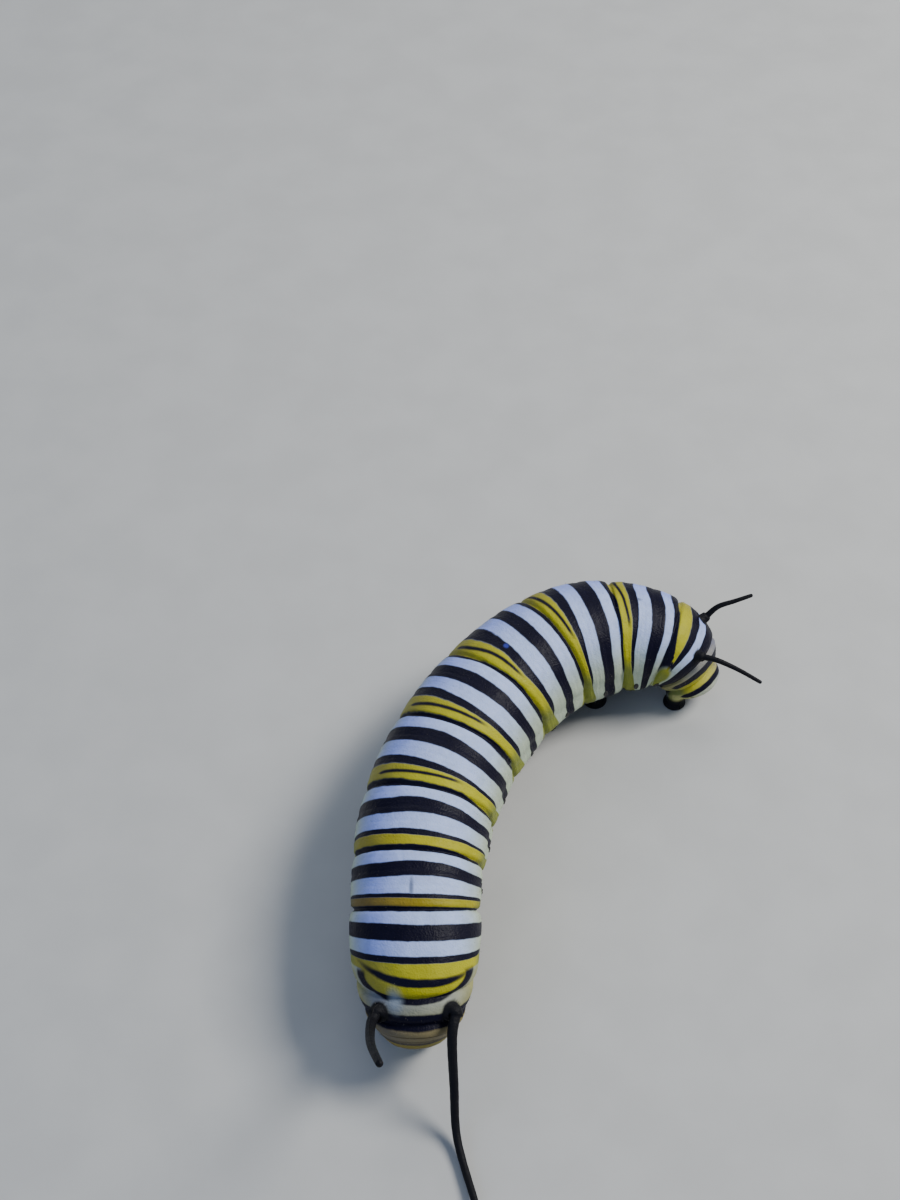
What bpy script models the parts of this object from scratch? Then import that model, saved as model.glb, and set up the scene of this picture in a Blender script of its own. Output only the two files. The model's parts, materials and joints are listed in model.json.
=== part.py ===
import math
from collections import namedtuple

import bmesh
import bpy
from mathutils import Vector
from mathutils.bvhtree import BVHTree

# Larva of the monarch butterfly in its last stage, life size, bent to its left, with the head tucked under.
# Lengths in this table are millimetres, and angles are degrees. Metres are used everywhere else.
MM = 0.001
UP = Vector((0.0, 0.0, 1.0))

# One row for each ring-shaped part of the body, from the head to the tail.
# length   spacing along the floor from the front edge to the back edge
# heading  direction of the tail end, seen from above, measured from +X
# lean     how far the top of the ring leans towards the head
# middle   height of the ring's middle over the floor
Segment = namedtuple("Segment", "name length heading lean middle width height")
NECK = Segment("neck", 0.0, 91.0, 76.0, 2.4, 3.3, 3.0)
SEGMENTS = [
    Segment("thorax_1", 0.5, 91.0, 68.0, 2.8, 4.3, 4.2),
    Segment("thorax_2", 2.1, 91.0, 58.0, 3.75, 6.1, 5.7),
    Segment("thorax_3", 3.0, 90.5, 39.0, 4.5, 7.0, 6.6),
    Segment("abdomen_1", 3.05, 88.0, 25.5, 4.7, 7.1, 6.9),
    Segment("abdomen_2", 3.75, 81.5, 17.0, 4.65, 7.4, 7.2),
    Segment("abdomen_3", 4.65, 71.0, 14.0, 4.6, 7.5, 7.3),
    Segment("abdomen_4", 4.9, 59.5, 12.0, 4.35, 7.5, 7.3),
    Segment("abdomen_5", 4.6, 44.5, 8.5, 4.3, 7.35, 7.15),
    Segment("abdomen_6", 4.1, 22.0, 4.0, 4.2, 7.2, 7.05),
    Segment("abdomen_7", 3.25, -6.0, 2.5, 3.95, 6.35, 6.25),
    Segment("abdomen_8", 1.55, -22.0, -32.0, 3.4, 5.35, 4.85),
    Segment("abdomen_9", 0.4, -35.0, -45.0, 2.2, 4.2, 3.8),
    Segment("abdomen_10", 1.05, -37.0, -55.0, 1.35, 3.45, 2.8),
]
TAIL = Segment("tail", 0.0, -39.0, -62.0, 1.0, 3.0, 2.85)

# Where the folds between the parts of the body lie, counted in rows of the table from the neck.
# The first two are drawn back, because the thorax bunches up over the tucked head.
FOLD_PLACES = (0.0, 1.22, 1.74, 3.03, 4.0, 5.0, 6.0, 6.95, 8.0, 9.07, 10.0, 11.0, 12.0, 13.0)

# The point of the body that the plan is measured from, as segments from the neck,
# and where it stands, which puts the origin under the middle of the whole model.
PLAN_STATION = 5.665
PLAN_X = -6.882 * MM
PLAN_Y = 5.12 * MM

GAP = 0.28 * MM
SIDES = 28
PATH_STEPS = 24
BACK_POWER = 2.1
BELLY_POWER = 2.5
BELLY_DEPTH = 0.95

# Places along one segment, as a fraction of it, and the skin's swell there.
FOLDS = [
    (0.0, 0.945),
    (0.06, 0.985),
    (0.15, 1.0),
    (0.2, 0.988),
    (0.32, 1.004),
    (0.5, 1.0),
    (0.66, 1.006),
    (0.82, 1.0),
    (0.9, 0.985),
    (1.0, 0.945),
]
TAIL_ROUND_FROM = 0.3
TAIL_RINGS = 9

# The head capsule: a rounded box of superellipses, with a groove down the middle of its face.
HEAD_WIDTH = 3.5 * MM
HEAD_HEIGHT = 3.1 * MM
HEAD_DEPTH = 2.5 * MM
HEAD_SIDES = 28
HEAD_RINGS = 15
HEAD_ACROSS_POWER = 2.15
HEAD_RISE_POWER = 2.1
HEAD_DEPTH_POWER = 2.25
HEAD_LEAN = 112.0
HEAD_REACH = 0.6 * MM
HEAD_DROP = 1.35 * MM
SUTURE_DEPTH = 0.13 * MM
SUTURE_WIDTH = 0.24 * MM

# Six simple eyes stand in an arc low on each side of the head.
EYE_RADIUS = 0.15 * MM
EYE_ARC_RADIUS = 0.42 * MM
EYE_ARC_LOW = 0.42 * MM
EYE_ARC_FRONT = 0.42 * MM
EYE_ANGLES = (-60.0, -12.0, 36.0, 84.0, 132.0, 200.0)

# Mouth plates: place across and down, then width, height, thickness and the taper of the far end.
MOUTH_DISTANCE = 1.12 * MM
Plate = namedtuple("Plate", "name across down width height thickness taper")
MOUTH_PLATES = (
    Plate("labrum", 0.0, -0.52, 1.1, 0.52, 0.48, 0.82),
    Plate("mandible_left", 0.42, 0.16, 0.55, 0.5, 0.62, 0.8),
    Plate("mandible_right", -0.42, 0.16, 0.55, 0.5, 0.62, 0.8),
    Plate("labium", 0.0, 0.8, 0.95, 0.5, 0.55, 0.65),
)
PLATE_POWER = 4.0
ANTENNA_SIDE = 0.9 * MM
ANTENNA_JOINT = 0.2 * MM
ANTENNA_RADII = (0.27, 0.26, 0.19, 0.17, 0.09)

# Soft legs under the abdomen. The profile gives the height, as a part of the leg, and the swell there.
PROLEG_SEGMENTS = (5, 6, 7, 8)
PROLEG_PLACE = 0.66
PROLEG_SIDE = 1.35 * MM
PROLEG_RADIUS = 0.76 * MM
ANAL_PLACE = 11.0
ANAL_SIDE = 1.05 * MM
ANAL_RADIUS = 0.7 * MM
PROLEG_LEAN_OUT = 0.2 * MM
PROLEG_SIDES = 16
PROLEG_PROFILE = ((0.0, 0.86), (0.13, 1.0), (0.27, 0.94), (0.4, 0.8), (0.58, 0.86))
PROLEG_TOP = (0.92, 0.5)

# Thorax legs: number, place on the body, angle of the root round the body and how far back the foot is.
Leg = namedtuple("Leg", "number place root_angle reach_back")
LEGS = (Leg(1, 0.85, 143.0, 0.5), Leg(2, 1.55, 156.0, 0.6), Leg(3, 2.5, 160.0, 0.8))
LEG_SIDES = 10
LEG_REACH_OUT = 0.25 * MM
LEG_RADII = (0.56, 0.6, 0.55, 0.5, 0.46, 0.47, 0.4, 0.36, 0.34, 0.24, 0.15)

# Tentacles: each knot is a step from the root, to the animal's left, back towards the tail, and up.
TENTACLE_SIDES = 10
FRONT_TENTACLE_PLACE = 1.42
FRONT_TENTACLE_ANGLE = 38.0
REAR_LEFT_PLACE = 10.8
REAR_LEFT_ANGLE = 22.0
REAR_RIGHT_PLACE = 10.5
REAR_RIGHT_ANGLE = -33.0
FRONT_TENTACLE_RADII = (0.3 * MM, 0.19 * MM)
REAR_TENTACLE_RADII = (0.27 * MM, 0.17 * MM)
FRONT_LEFT_KNOTS = [(-0.2, -1.1, -0.5), (-0.13, -2.7, -2.6), (0.0, -4.7, -4.45), (0.8, -7.9, -4.6)]
FRONT_RIGHT_KNOTS = [(-0.18, -0.68, 0.31), (-0.16, -2.33, 2.01), (0.03, -4.1, 4.21), (0.45, -5.9, 6.1)]
REAR_LEFT_KNOTS = [(-0.1, 0.92, 0.05), (-0.25, 2.24, -0.28), (-0.29, 3.67, -0.71)]
REAR_RIGHT_KNOTS = [(-0.46, 0.52, 0.61), (-0.97, 1.4, 0.96), (-1.58, 2.21, 1.16)]

# Colour, roughness and metallic value of each finish.
SKIN_LOOKS = ((0.62, 0.68, 0.66), 0.45, 0.0)
HEAD_LOOKS = ((0.035, 0.03, 0.03), 0.3, 0.0)
PALE_LOOKS = ((0.55, 0.5, 0.3), 0.4, 0.0)
BLACK_LOOKS = ((0.02, 0.018, 0.025), 0.4, 0.0)


def clear_scene():
    for thing in list(bpy.data.objects):
        bpy.data.objects.remove(thing, do_unlink=True)


def material(name, colour, roughness, metallic=0.0):
    new = bpy.data.materials.new(name)
    new.use_nodes = True
    shader = new.node_tree.nodes["Principled BSDF"]
    shader.inputs["Base Color"].default_value = (*colour, 1.0)
    shader.inputs["Roughness"].default_value = roughness
    shader.inputs["Metallic"].default_value = metallic
    new.diffuse_color = (*colour, 1.0)
    return new


def finish_mesh(name, mesh, looks):
    # Turns a bmesh into a named object with its own material.
    bmesh.ops.recalc_face_normals(mesh, faces=mesh.faces)
    if mesh.calc_volume(signed=True) < 0:
        bmesh.ops.reverse_faces(mesh, faces=mesh.faces)
    data = bpy.data.meshes.new(name)
    mesh.to_mesh(data)
    mesh.free()
    data.shade_smooth()
    data.set_sharp_from_angle(angle=math.radians(38.0))
    thing = bpy.data.objects.new(name, data)
    bpy.context.collection.objects.link(thing)
    data.materials.append(material(name + "_finish", *looks))
    return thing


def smooth_value(values, place):
    # Reads a smooth curve through values that stand half way along each segment.
    spot = place + 0.5
    first = int(math.floor(spot))
    part = spot - first
    last = len(values) - 1

    def value(index):
        return values[max(0, min(last, index))]

    a, b, c, d = (value(first + step) for step in (-1, 0, 1, 2))
    bend = 3.0 * (b - c) + d - a
    return b + 0.5 * part * ((c - a) + part * ((2 * a - 5 * b + 4 * c - d) + part * bend))


ROWS = [NECK] + SEGMENTS + [TAIL]
HEADINGS = [math.radians(row.heading) for row in ROWS]
LEANS = [math.radians(row.lean) for row in ROWS]
MIDDLES = [row.middle * MM for row in ROWS]
HALF_WIDTHS = [row.width * MM / 2 for row in ROWS]
HALF_HEIGHTS = [row.height * MM / 2 for row in ROWS]


def make_plan():
    # Walks from the neck to the tail and returns the middle line seen from above.
    points = [Vector((0.0, 0.0))]
    for index, row in enumerate(SEGMENTS):
        stride = row.length * MM / PATH_STEPS
        for step in range(PATH_STEPS):
            heading = smooth_value(HEADINGS, index + (step + 0.5) / PATH_STEPS)
            points.append(points[-1] + stride * Vector((math.cos(heading), math.sin(heading))))
    return points


def read_plan(points, place):
    spot = max(0.0, min(place * PATH_STEPS, len(points) - 1.001))
    index = int(spot)
    return points[index].lerp(points[index + 1], spot - index)


PLAN = make_plan()
PLAN_SHIFT = Vector((PLAN_X, PLAN_Y)) - read_plan(PLAN, PLAN_STATION)

Frame = namedtuple("Frame", "centre left up forward half_width half_height")


def body_frame(place):
    # place counts segments from the neck: 0 is the neck and 13 is the end of the tail.
    heading = smooth_value(HEADINGS, place)
    lean = smooth_value(LEANS, place)
    flat = read_plan(PLAN, place) + PLAN_SHIFT
    back = Vector((math.cos(heading), math.sin(heading), 0.0))
    up = UP * math.cos(lean) - back * math.sin(lean)
    forward = -back * math.cos(lean) - UP * math.sin(lean)
    return Frame(
        Vector((flat.x, flat.y, smooth_value(MIDDLES, place))),
        back.cross(UP),
        up,
        forward,
        smooth_value(HALF_WIDTHS, place),
        smooth_value(HALF_HEIGHTS, place),
    )


def rounded(value, power):
    return math.copysign(abs(value) ** (2.0 / power), value)


def outline_point(frame, angle, size=1.0):
    # angle is 0 on the back, 90 on the animal's left side and 180 under the belly.
    across = math.sin(angle)
    along = math.cos(angle)
    power = BACK_POWER if along >= 0 else BELLY_POWER
    depth = frame.half_height * (1.0 if along >= 0 else BELLY_DEPTH)
    side = frame.left * frame.half_width * rounded(across, power)
    return frame.centre + size * (side + frame.up * depth * rounded(along, power))


def body_normal(place, angle):
    frame = body_frame(place)
    step = 0.02
    around = outline_point(frame, angle + step) - outline_point(frame, angle - step)
    along = outline_point(body_frame(place + step), angle) - outline_point(body_frame(place - step), angle)
    normal = around.cross(along).normalized()
    if normal.dot(outline_point(frame, angle) - frame.centre) < 0:
        normal.negate()
    return normal


def ring_of(mesh, points):
    return [mesh.verts.new(point) for point in points]


def join_rings(mesh, rings):
    for first, second in zip(rings, rings[1:]):
        count = len(first)
        for index in range(count):
            after = (index + 1) % count
            mesh.faces.new((first[index], first[after], second[after], second[index]))


def close_ring(mesh, ring, middle):
    # Fills a ring with triangles that meet at one middle point.
    centre = mesh.verts.new(middle)
    for index, vertex in enumerate(ring):
        mesh.faces.new((vertex, ring[(index + 1) % len(ring)], centre))


def body_rings(mesh, index, folds):
    start, end = FOLD_PLACES[index : index + 2]
    rings = []
    first_shift = body_frame(start).forward * -GAP / 2
    last_shift = body_frame(end).forward * GAP / 2
    for phase, size in folds:
        frame = body_frame(start + phase * (end - start))
        shift = first_shift.lerp(last_shift, phase)
        angles = [2 * math.pi * side / SIDES for side in range(SIDES)]
        rings.append(ring_of(mesh, [outline_point(frame, angle, size) + shift for angle in angles]))
    return rings


def make_segment(index):
    mesh = bmesh.new()
    rings = body_rings(mesh, index, FOLDS)
    join_rings(mesh, rings)
    for ring in (rings[0], rings[-1]):
        close_ring(mesh, ring, sum((v.co for v in ring), Vector()) / len(ring))
    return finish_mesh(SEGMENTS[index].name, mesh, SKIN_LOOKS)


def make_last_segment(index):
    # The last segment ends in the rounded anal plate.
    mesh = bmesh.new()
    folds = [fold for fold in FOLDS if fold[0] <= TAIL_ROUND_FROM]
    for step in range(1, TAIL_RINGS):
        turn = math.pi / 2 * step / TAIL_RINGS
        folds.append((TAIL_ROUND_FROM + (1 - TAIL_ROUND_FROM) * math.sin(turn), math.cos(turn)))
    rings = body_rings(mesh, index, folds)
    join_rings(mesh, rings)
    close_ring(mesh, rings[0], sum((v.co for v in rings[0]), Vector()) / SIDES)
    close_ring(mesh, rings[-1], body_frame(FOLD_PLACES[-1]).centre)
    return finish_mesh(SEGMENTS[index].name, mesh, SKIN_LOOKS)


def add_union(target, pieces):
    # Fuses small closed pieces into the target and keeps its largest closed surface.
    group = bpy.data.collections.new(target.name + "_pieces")
    bpy.context.scene.collection.children.link(group)
    for piece in pieces:
        for owner in list(piece.users_collection):
            owner.objects.unlink(piece)
        group.objects.link(piece)
    union = target.modifiers.new("pieces", "BOOLEAN")
    union.operation = "UNION"
    union.operand_type = "COLLECTION"
    union.collection = group
    union.solver = "EXACT"
    evaluated = target.evaluated_get(bpy.context.evaluated_depsgraph_get())
    fused = bpy.data.meshes.new_from_object(evaluated)
    target.modifiers.remove(union)
    target.data = fused
    for piece in pieces:
        bpy.data.objects.remove(piece, do_unlink=True)
    bpy.data.collections.remove(group)
    keep_largest(target.data)


def keep_largest(data):
    mesh = bmesh.new()
    mesh.from_mesh(data)
    unseen = set(mesh.verts)
    groups = []
    while unseen:
        front = [unseen.pop()]
        group = list(front)
        while front:
            vertex = front.pop()
            for edge in vertex.link_edges:
                other = edge.other_vert(vertex)
                if other in unseen:
                    unseen.remove(other)
                    front.append(other)
                    group.append(other)
        groups.append(group)
    groups.sort(key=len)
    loose = [vertex for group in groups[:-1] for vertex in group]
    bmesh.ops.delete(mesh, geom=loose, context="VERTS")
    mesh.to_mesh(data)
    mesh.free()


def head_frame():
    # The head hangs under the first thorax segment with its face turned down and back.
    neck = body_frame(0.0)
    back = Vector((math.cos(HEADINGS[0]), math.sin(HEADINGS[0]), 0.0))
    lean = math.radians(HEAD_LEAN)
    up = UP * math.cos(lean) - back * math.sin(lean)
    forward = -back * math.cos(lean) - UP * math.sin(lean)
    centre = neck.centre + neck.forward * (GAP / 2 + HEAD_REACH) - neck.up * HEAD_DROP
    return Frame(centre, neck.left, up, forward, HEAD_WIDTH / 2, HEAD_HEIGHT / 2)


def head_point(head, side, rise, reach):
    return head.centre + head.left * side + head.up * rise + head.forward * reach


def make_head():
    head = head_frame()
    neck = body_frame(0.0)
    mesh = bmesh.new()
    rings = []
    for row in range(1, HEAD_RINGS):
        turn = math.pi * row / HEAD_RINGS
        reach = HEAD_DEPTH / 2 * math.cos(turn)
        spread = rounded(math.sin(turn), HEAD_DEPTH_POWER)
        ring = []
        for side in range(HEAD_SIDES):
            angle = 2 * math.pi * side / HEAD_SIDES
            across = HEAD_WIDTH / 2 * rounded(math.sin(angle), HEAD_ACROSS_POWER) * spread
            rise = HEAD_HEIGHT / 2 * rounded(math.cos(angle), HEAD_RISE_POWER) * spread
            groove = SUTURE_DEPTH * math.exp(-((across / SUTURE_WIDTH) ** 2))
            groove *= max(0.0, min(1.0, 0.35 + rise / (HEAD_HEIGHT / 2)))
            shrink = 1.0 - groove / (HEAD_HEIGHT / 2)
            ring.append(head_point(head, across, rise * shrink, reach * shrink))
        rings.append(ring_of(mesh, ring))
    join_rings(mesh, rings)
    close_ring(mesh, rings[0], head_point(head, 0, 0, HEAD_DEPTH / 2 - SUTURE_DEPTH * 0.4))
    close_ring(mesh, rings[-1], head_point(head, 0, 0, -HEAD_DEPTH / 2))
    mouth_normal = mouth_direction(head)
    cuts = [
        (neck.centre + neck.forward * GAP, -neck.forward),
        (head.centre + mouth_normal * MOUTH_DISTANCE, mouth_normal),
    ]
    for point, outward in cuts:
        geometry = mesh.verts[:] + mesh.edges[:] + mesh.faces[:]
        cut = bmesh.ops.bisect_plane(
            mesh, geom=geometry, plane_co=point, plane_no=outward, clear_outer=True
        )
        edges = [item for item in cut["geom_cut"] if isinstance(item, bmesh.types.BMEdge)]
        bmesh.ops.holes_fill(mesh, edges=edges, sides=0)
    capsule = finish_mesh("head", mesh, HEAD_LOOKS)
    add_union(capsule, [make_eye(head, side, turn) for side in (1, -1) for turn in EYE_ANGLES])
    return capsule


def mouth_direction(head):
    return (head.forward * 0.6 - head.up * 0.8).normalized()


def eye_place(head, side, turn):
    rise = EYE_ARC_RADIUS * math.sin(math.radians(turn)) - EYE_ARC_LOW
    reach = EYE_ARC_RADIUS * math.cos(math.radians(turn)) * 0.8 + EYE_ARC_FRONT
    hollow = 1.0 - (rise / (HEAD_HEIGHT / 2)) ** 2 - (reach / (HEAD_DEPTH / 2)) ** 2
    across = side * HEAD_WIDTH / 2 * math.sqrt(max(0.1, hollow)) * 0.99
    return head_point(head, across, rise, reach)


def make_eye(head, side, turn):
    mesh = bmesh.new()
    bmesh.ops.create_icosphere(mesh, subdivisions=1, radius=EYE_RADIUS)
    bmesh.ops.translate(mesh, vec=eye_place(head, side, turn), verts=mesh.verts)
    return finish_mesh("eye", mesh, HEAD_LOOKS)


def make_tube(name, points, radii, sides, looks, root_normal=None, flat_tip=None):
    # A closed tube along points. root_normal sets how its first end lies.
    mesh = bmesh.new()
    rings = []
    count = len(points)
    previous = None
    for index, point in enumerate(points):
        ahead = points[min(index + 1, count - 1)] - points[max(index - 1, 0)]
        axis = ahead.normalized()
        if index == 0 and root_normal is not None:
            axis = root_normal.normalized()
        if previous is None:
            side = axis.orthogonal().normalized()
        else:
            side = (previous - axis * previous.dot(axis)).normalized()
        previous = side
        other = axis.cross(side)
        ring = []
        for step in range(sides):
            angle = 2 * math.pi * step / sides
            ring.append(point + radii[index] * (side * math.cos(angle) + other * math.sin(angle)))
        if flat_tip is not None and index == count - 1:
            ring = [Vector((spot.x, spot.y, flat_tip)) for spot in ring]
        rings.append(ring_of(mesh, ring))
    join_rings(mesh, rings)
    for ring in (rings[0], rings[-1]):
        close_ring(mesh, ring, sum((v.co for v in ring), Vector()) / len(ring))
    return finish_mesh(name, mesh, looks)


def curve_points(knots, count):
    # Reads count points from one smooth curve through a few knots.
    points = []
    for step in range(count):
        spot = (len(knots) - 1) * step / (count - 1)
        values = [smooth_value([knot[axis] for knot in knots], spot - 0.5) for axis in range(3)]
        points.append(Vector(values))
    return points


def mouth_base(head):
    return head.centre + mouth_direction(head) * (MOUTH_DISTANCE + GAP)


def make_plate(plate):
    # A small rounded block that stands on the flat front of the mouth and narrows outwards.
    head = head_frame()
    outward = mouth_direction(head)
    down = head.left.cross(outward)
    mesh = bmesh.new()
    bmesh.ops.create_uvsphere(mesh, u_segments=12, v_segments=8, radius=1.0)
    for vertex in mesh.verts:
        length = sum(abs(value) ** PLATE_POWER for value in vertex.co) ** (1.0 / PLATE_POWER)
        spot = vertex.co / length
        height = (spot.z + 1.0) / 2
        shrink = 1.0 + (plate.taper - 1.0) * height
        across = plate.across + spot.x * plate.width / 2 * shrink
        drop = plate.down + spot.y * plate.height / 2 * shrink
        reach = plate.thickness * height
        vertex.co = mouth_base(head) + (head.left * across + down * drop + outward * reach) * MM
    return finish_mesh(plate.name, mesh, HEAD_LOOKS)


def make_antenna(name, side):
    # A short antenna of three joints beside the mouth, bent towards the face.
    head = head_frame()
    outward = mouth_direction(head)
    root = mouth_base(head) + head.left * side * ANTENNA_SIDE
    lean = (outward * 0.5 + head.left * side * 0.35 + head.forward).normalized()
    bend = root + outward * 0.14 * MM
    points = [root, bend]
    points += [bend + lean * step * ANTENNA_JOINT for step in range(1, 4)]
    radii = [size * MM for size in ANTENNA_RADII]
    return make_tube(name, points, radii, 8, PALE_LOOKS, root_normal=outward)


def body_tree(things):
    mesh = bmesh.new()
    for thing in things:
        mesh.from_mesh(thing.data)
    bmesh.ops.triangulate(mesh, faces=mesh.faces)
    tree = BVHTree.FromBMesh(mesh)
    mesh.free()
    return tree


def level_back(frame):
    # The level direction towards the tail.
    return (UP * frame.forward.z - frame.forward).normalized()


def belly_height(tree, spot):
    hit = tree.ray_cast(Vector((spot.x, spot.y, -MM)), UP)[0]
    return hit.z - GAP


def proleg_ring(frame, centre, radius):
    # Points of a level circle, in order round the leg.
    back = level_back(frame)
    points = []
    for step in range(PROLEG_SIDES):
        angle = 2 * math.pi * step / PROLEG_SIDES
        points.append(centre + radius * (back * math.cos(angle) + frame.left * math.sin(angle)))
    return points


def make_proleg(name, tree, place, side, offset, radius):
    # A soft stub that flares to a flat sole, cut to the belly above it.
    frame = body_frame(place)
    middle = Vector((frame.centre.x, frame.centre.y, 0.0)) + frame.left * side * offset
    sole = middle + frame.left * side * PROLEG_LEAN_OUT
    roof = belly_height(tree, middle)
    mesh = bmesh.new()
    rings = []
    for height, swell in PROLEG_PROFILE:
        centre = sole.lerp(middle, height) + UP * roof * height
        rings.append(ring_of(mesh, proleg_ring(frame, centre, swell * radius)))
    for swell in PROLEG_TOP:
        points = proleg_ring(frame, middle, swell * radius)
        for point in points:
            point.z = belly_height(tree, point)
        rings.append(ring_of(mesh, points))
    join_rings(mesh, rings)
    close_ring(mesh, rings[0], sole)
    close_ring(mesh, rings[-1], middle + UP * roof)
    return finish_mesh(name, mesh, BLACK_LOOKS)


def make_leg(name, leg, side):
    # A thorax leg in tapering joints, ending in a claw on the floor.
    angle = side * math.radians(leg.root_angle)
    frame = body_frame(leg.place)
    normal = body_normal(leg.place, angle)
    root = outline_point(frame, angle) + normal * GAP * 1.15
    foot = Vector((root.x, root.y, 0.0))
    foot += frame.left * side * LEG_REACH_OUT + level_back(frame) * leg.reach_back * MM
    knee = root.lerp(foot, 0.5) + normal * 0.28 * MM + frame.left * side * 0.3 * MM
    knots = [root, root + normal * 0.35 * MM, knee, foot + UP * 0.42 * MM, foot]
    points = curve_points(knots, len(LEG_RADII))
    radii = [size * MM for size in LEG_RADII]
    return make_tube(name, points, radii, LEG_SIDES, BLACK_LOOKS, root_normal=normal, flat_tip=0.0)


def tentacle_path(place, angle, steps, count):
    # The root's outward direction and the points of the curve.
    frame = body_frame(place)
    normal = body_normal(place, angle)
    root = outline_point(frame, angle) + normal * GAP * 1.1
    knots = [root]
    for left, tailward, rise in steps:
        knots.append(root + (frame.left * left + level_back(frame) * tailward + UP * rise) * MM)
    return normal, curve_points(knots, count)


def tentacle_radii(sizes, count):
    root_size, tip_size = sizes
    return [root_size + (tip_size - root_size) * (step / (count - 1)) ** 0.8 for step in range(count)]


def make_rear_tentacle(name, place, angle, steps):
    count = 12
    normal, points = tentacle_path(place, math.radians(angle), steps, count)
    radii = tentacle_radii(REAR_TENTACLE_RADII, count)
    make_tube(name, points, radii, TENTACLE_SIDES, BLACK_LOOKS, root_normal=normal)


def make_front_tentacle(name, angle, steps):
    # The long tentacle is made in two lengths that meet face to face.
    count = 25
    middle = count // 2
    normal, points = tentacle_path(FRONT_TENTACLE_PLACE, math.radians(angle), steps, count)
    radii = tentacle_radii(FRONT_TENTACLE_RADII, count)
    axis = (points[middle + 1] - points[middle - 1]).normalized()
    near = points[:middle] + [points[middle] - axis * GAP / 2]
    far = [points[middle] + axis * GAP / 2] + points[middle + 1 :]
    near_radii, far_radii = radii[: middle + 1], radii[middle:]
    make_tube(name + "_1", near, near_radii, TENTACLE_SIDES, BLACK_LOOKS, root_normal=normal)
    make_tube(name + "_2", far, far_radii, TENTACLE_SIDES, BLACK_LOOKS, root_normal=axis)


def main():
    clear_scene()
    last = len(SEGMENTS) - 1
    body = [make_segment(index) for index in range(last)]
    body.append(make_last_segment(last))
    tree = body_tree(body)
    make_head()
    for plate in MOUTH_PLATES:
        make_plate(plate)
    for side_name, side in (("left", 1), ("right", -1)):
        make_antenna("antenna_" + side_name, side)
        for leg in LEGS:
            make_leg(f"leg_{leg.number}_{side_name}", leg, side)
        for index in PROLEG_SEGMENTS:
            name = f"proleg_{index - 2}_{side_name}"
            make_proleg(name, tree, index + PROLEG_PLACE, side, PROLEG_SIDE, PROLEG_RADIUS)
        make_proleg("anal_proleg_" + side_name, tree, ANAL_PLACE, side, ANAL_SIDE, ANAL_RADIUS)
    make_front_tentacle("tentacle_front_left", FRONT_TENTACLE_ANGLE, FRONT_LEFT_KNOTS)
    make_front_tentacle("tentacle_front_right", -FRONT_TENTACLE_ANGLE, FRONT_RIGHT_KNOTS)
    make_rear_tentacle("tentacle_rear_left", REAR_LEFT_PLACE, REAR_LEFT_ANGLE, REAR_LEFT_KNOTS)
    make_rear_tentacle("tentacle_rear_right", REAR_RIGHT_PLACE, REAR_RIGHT_ANGLE, REAR_RIGHT_KNOTS)


main()
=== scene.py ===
import json
import math
import random
from collections import namedtuple

import bmesh
import bpy
from mathutils import Matrix, Vector, noise
from mathutils.bvhtree import BVHTree

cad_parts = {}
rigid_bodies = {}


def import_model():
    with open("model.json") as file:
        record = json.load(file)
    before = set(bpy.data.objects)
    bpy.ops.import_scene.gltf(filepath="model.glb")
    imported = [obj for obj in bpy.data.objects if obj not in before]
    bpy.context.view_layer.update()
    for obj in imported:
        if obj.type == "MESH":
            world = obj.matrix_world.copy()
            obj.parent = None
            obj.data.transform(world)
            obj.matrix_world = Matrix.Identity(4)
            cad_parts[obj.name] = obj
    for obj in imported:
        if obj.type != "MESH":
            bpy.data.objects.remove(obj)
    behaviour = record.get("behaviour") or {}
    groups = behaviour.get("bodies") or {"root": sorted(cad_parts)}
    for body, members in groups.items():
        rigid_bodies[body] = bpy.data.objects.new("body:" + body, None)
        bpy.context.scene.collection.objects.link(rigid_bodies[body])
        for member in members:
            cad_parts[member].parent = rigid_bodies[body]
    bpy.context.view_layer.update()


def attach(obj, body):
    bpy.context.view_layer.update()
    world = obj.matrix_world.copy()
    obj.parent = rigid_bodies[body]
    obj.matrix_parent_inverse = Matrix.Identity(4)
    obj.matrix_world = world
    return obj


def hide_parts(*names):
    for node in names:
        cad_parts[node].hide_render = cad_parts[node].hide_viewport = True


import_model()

mm = 0.001
up = Vector((0.0, 0.0, 1.0))

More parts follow.
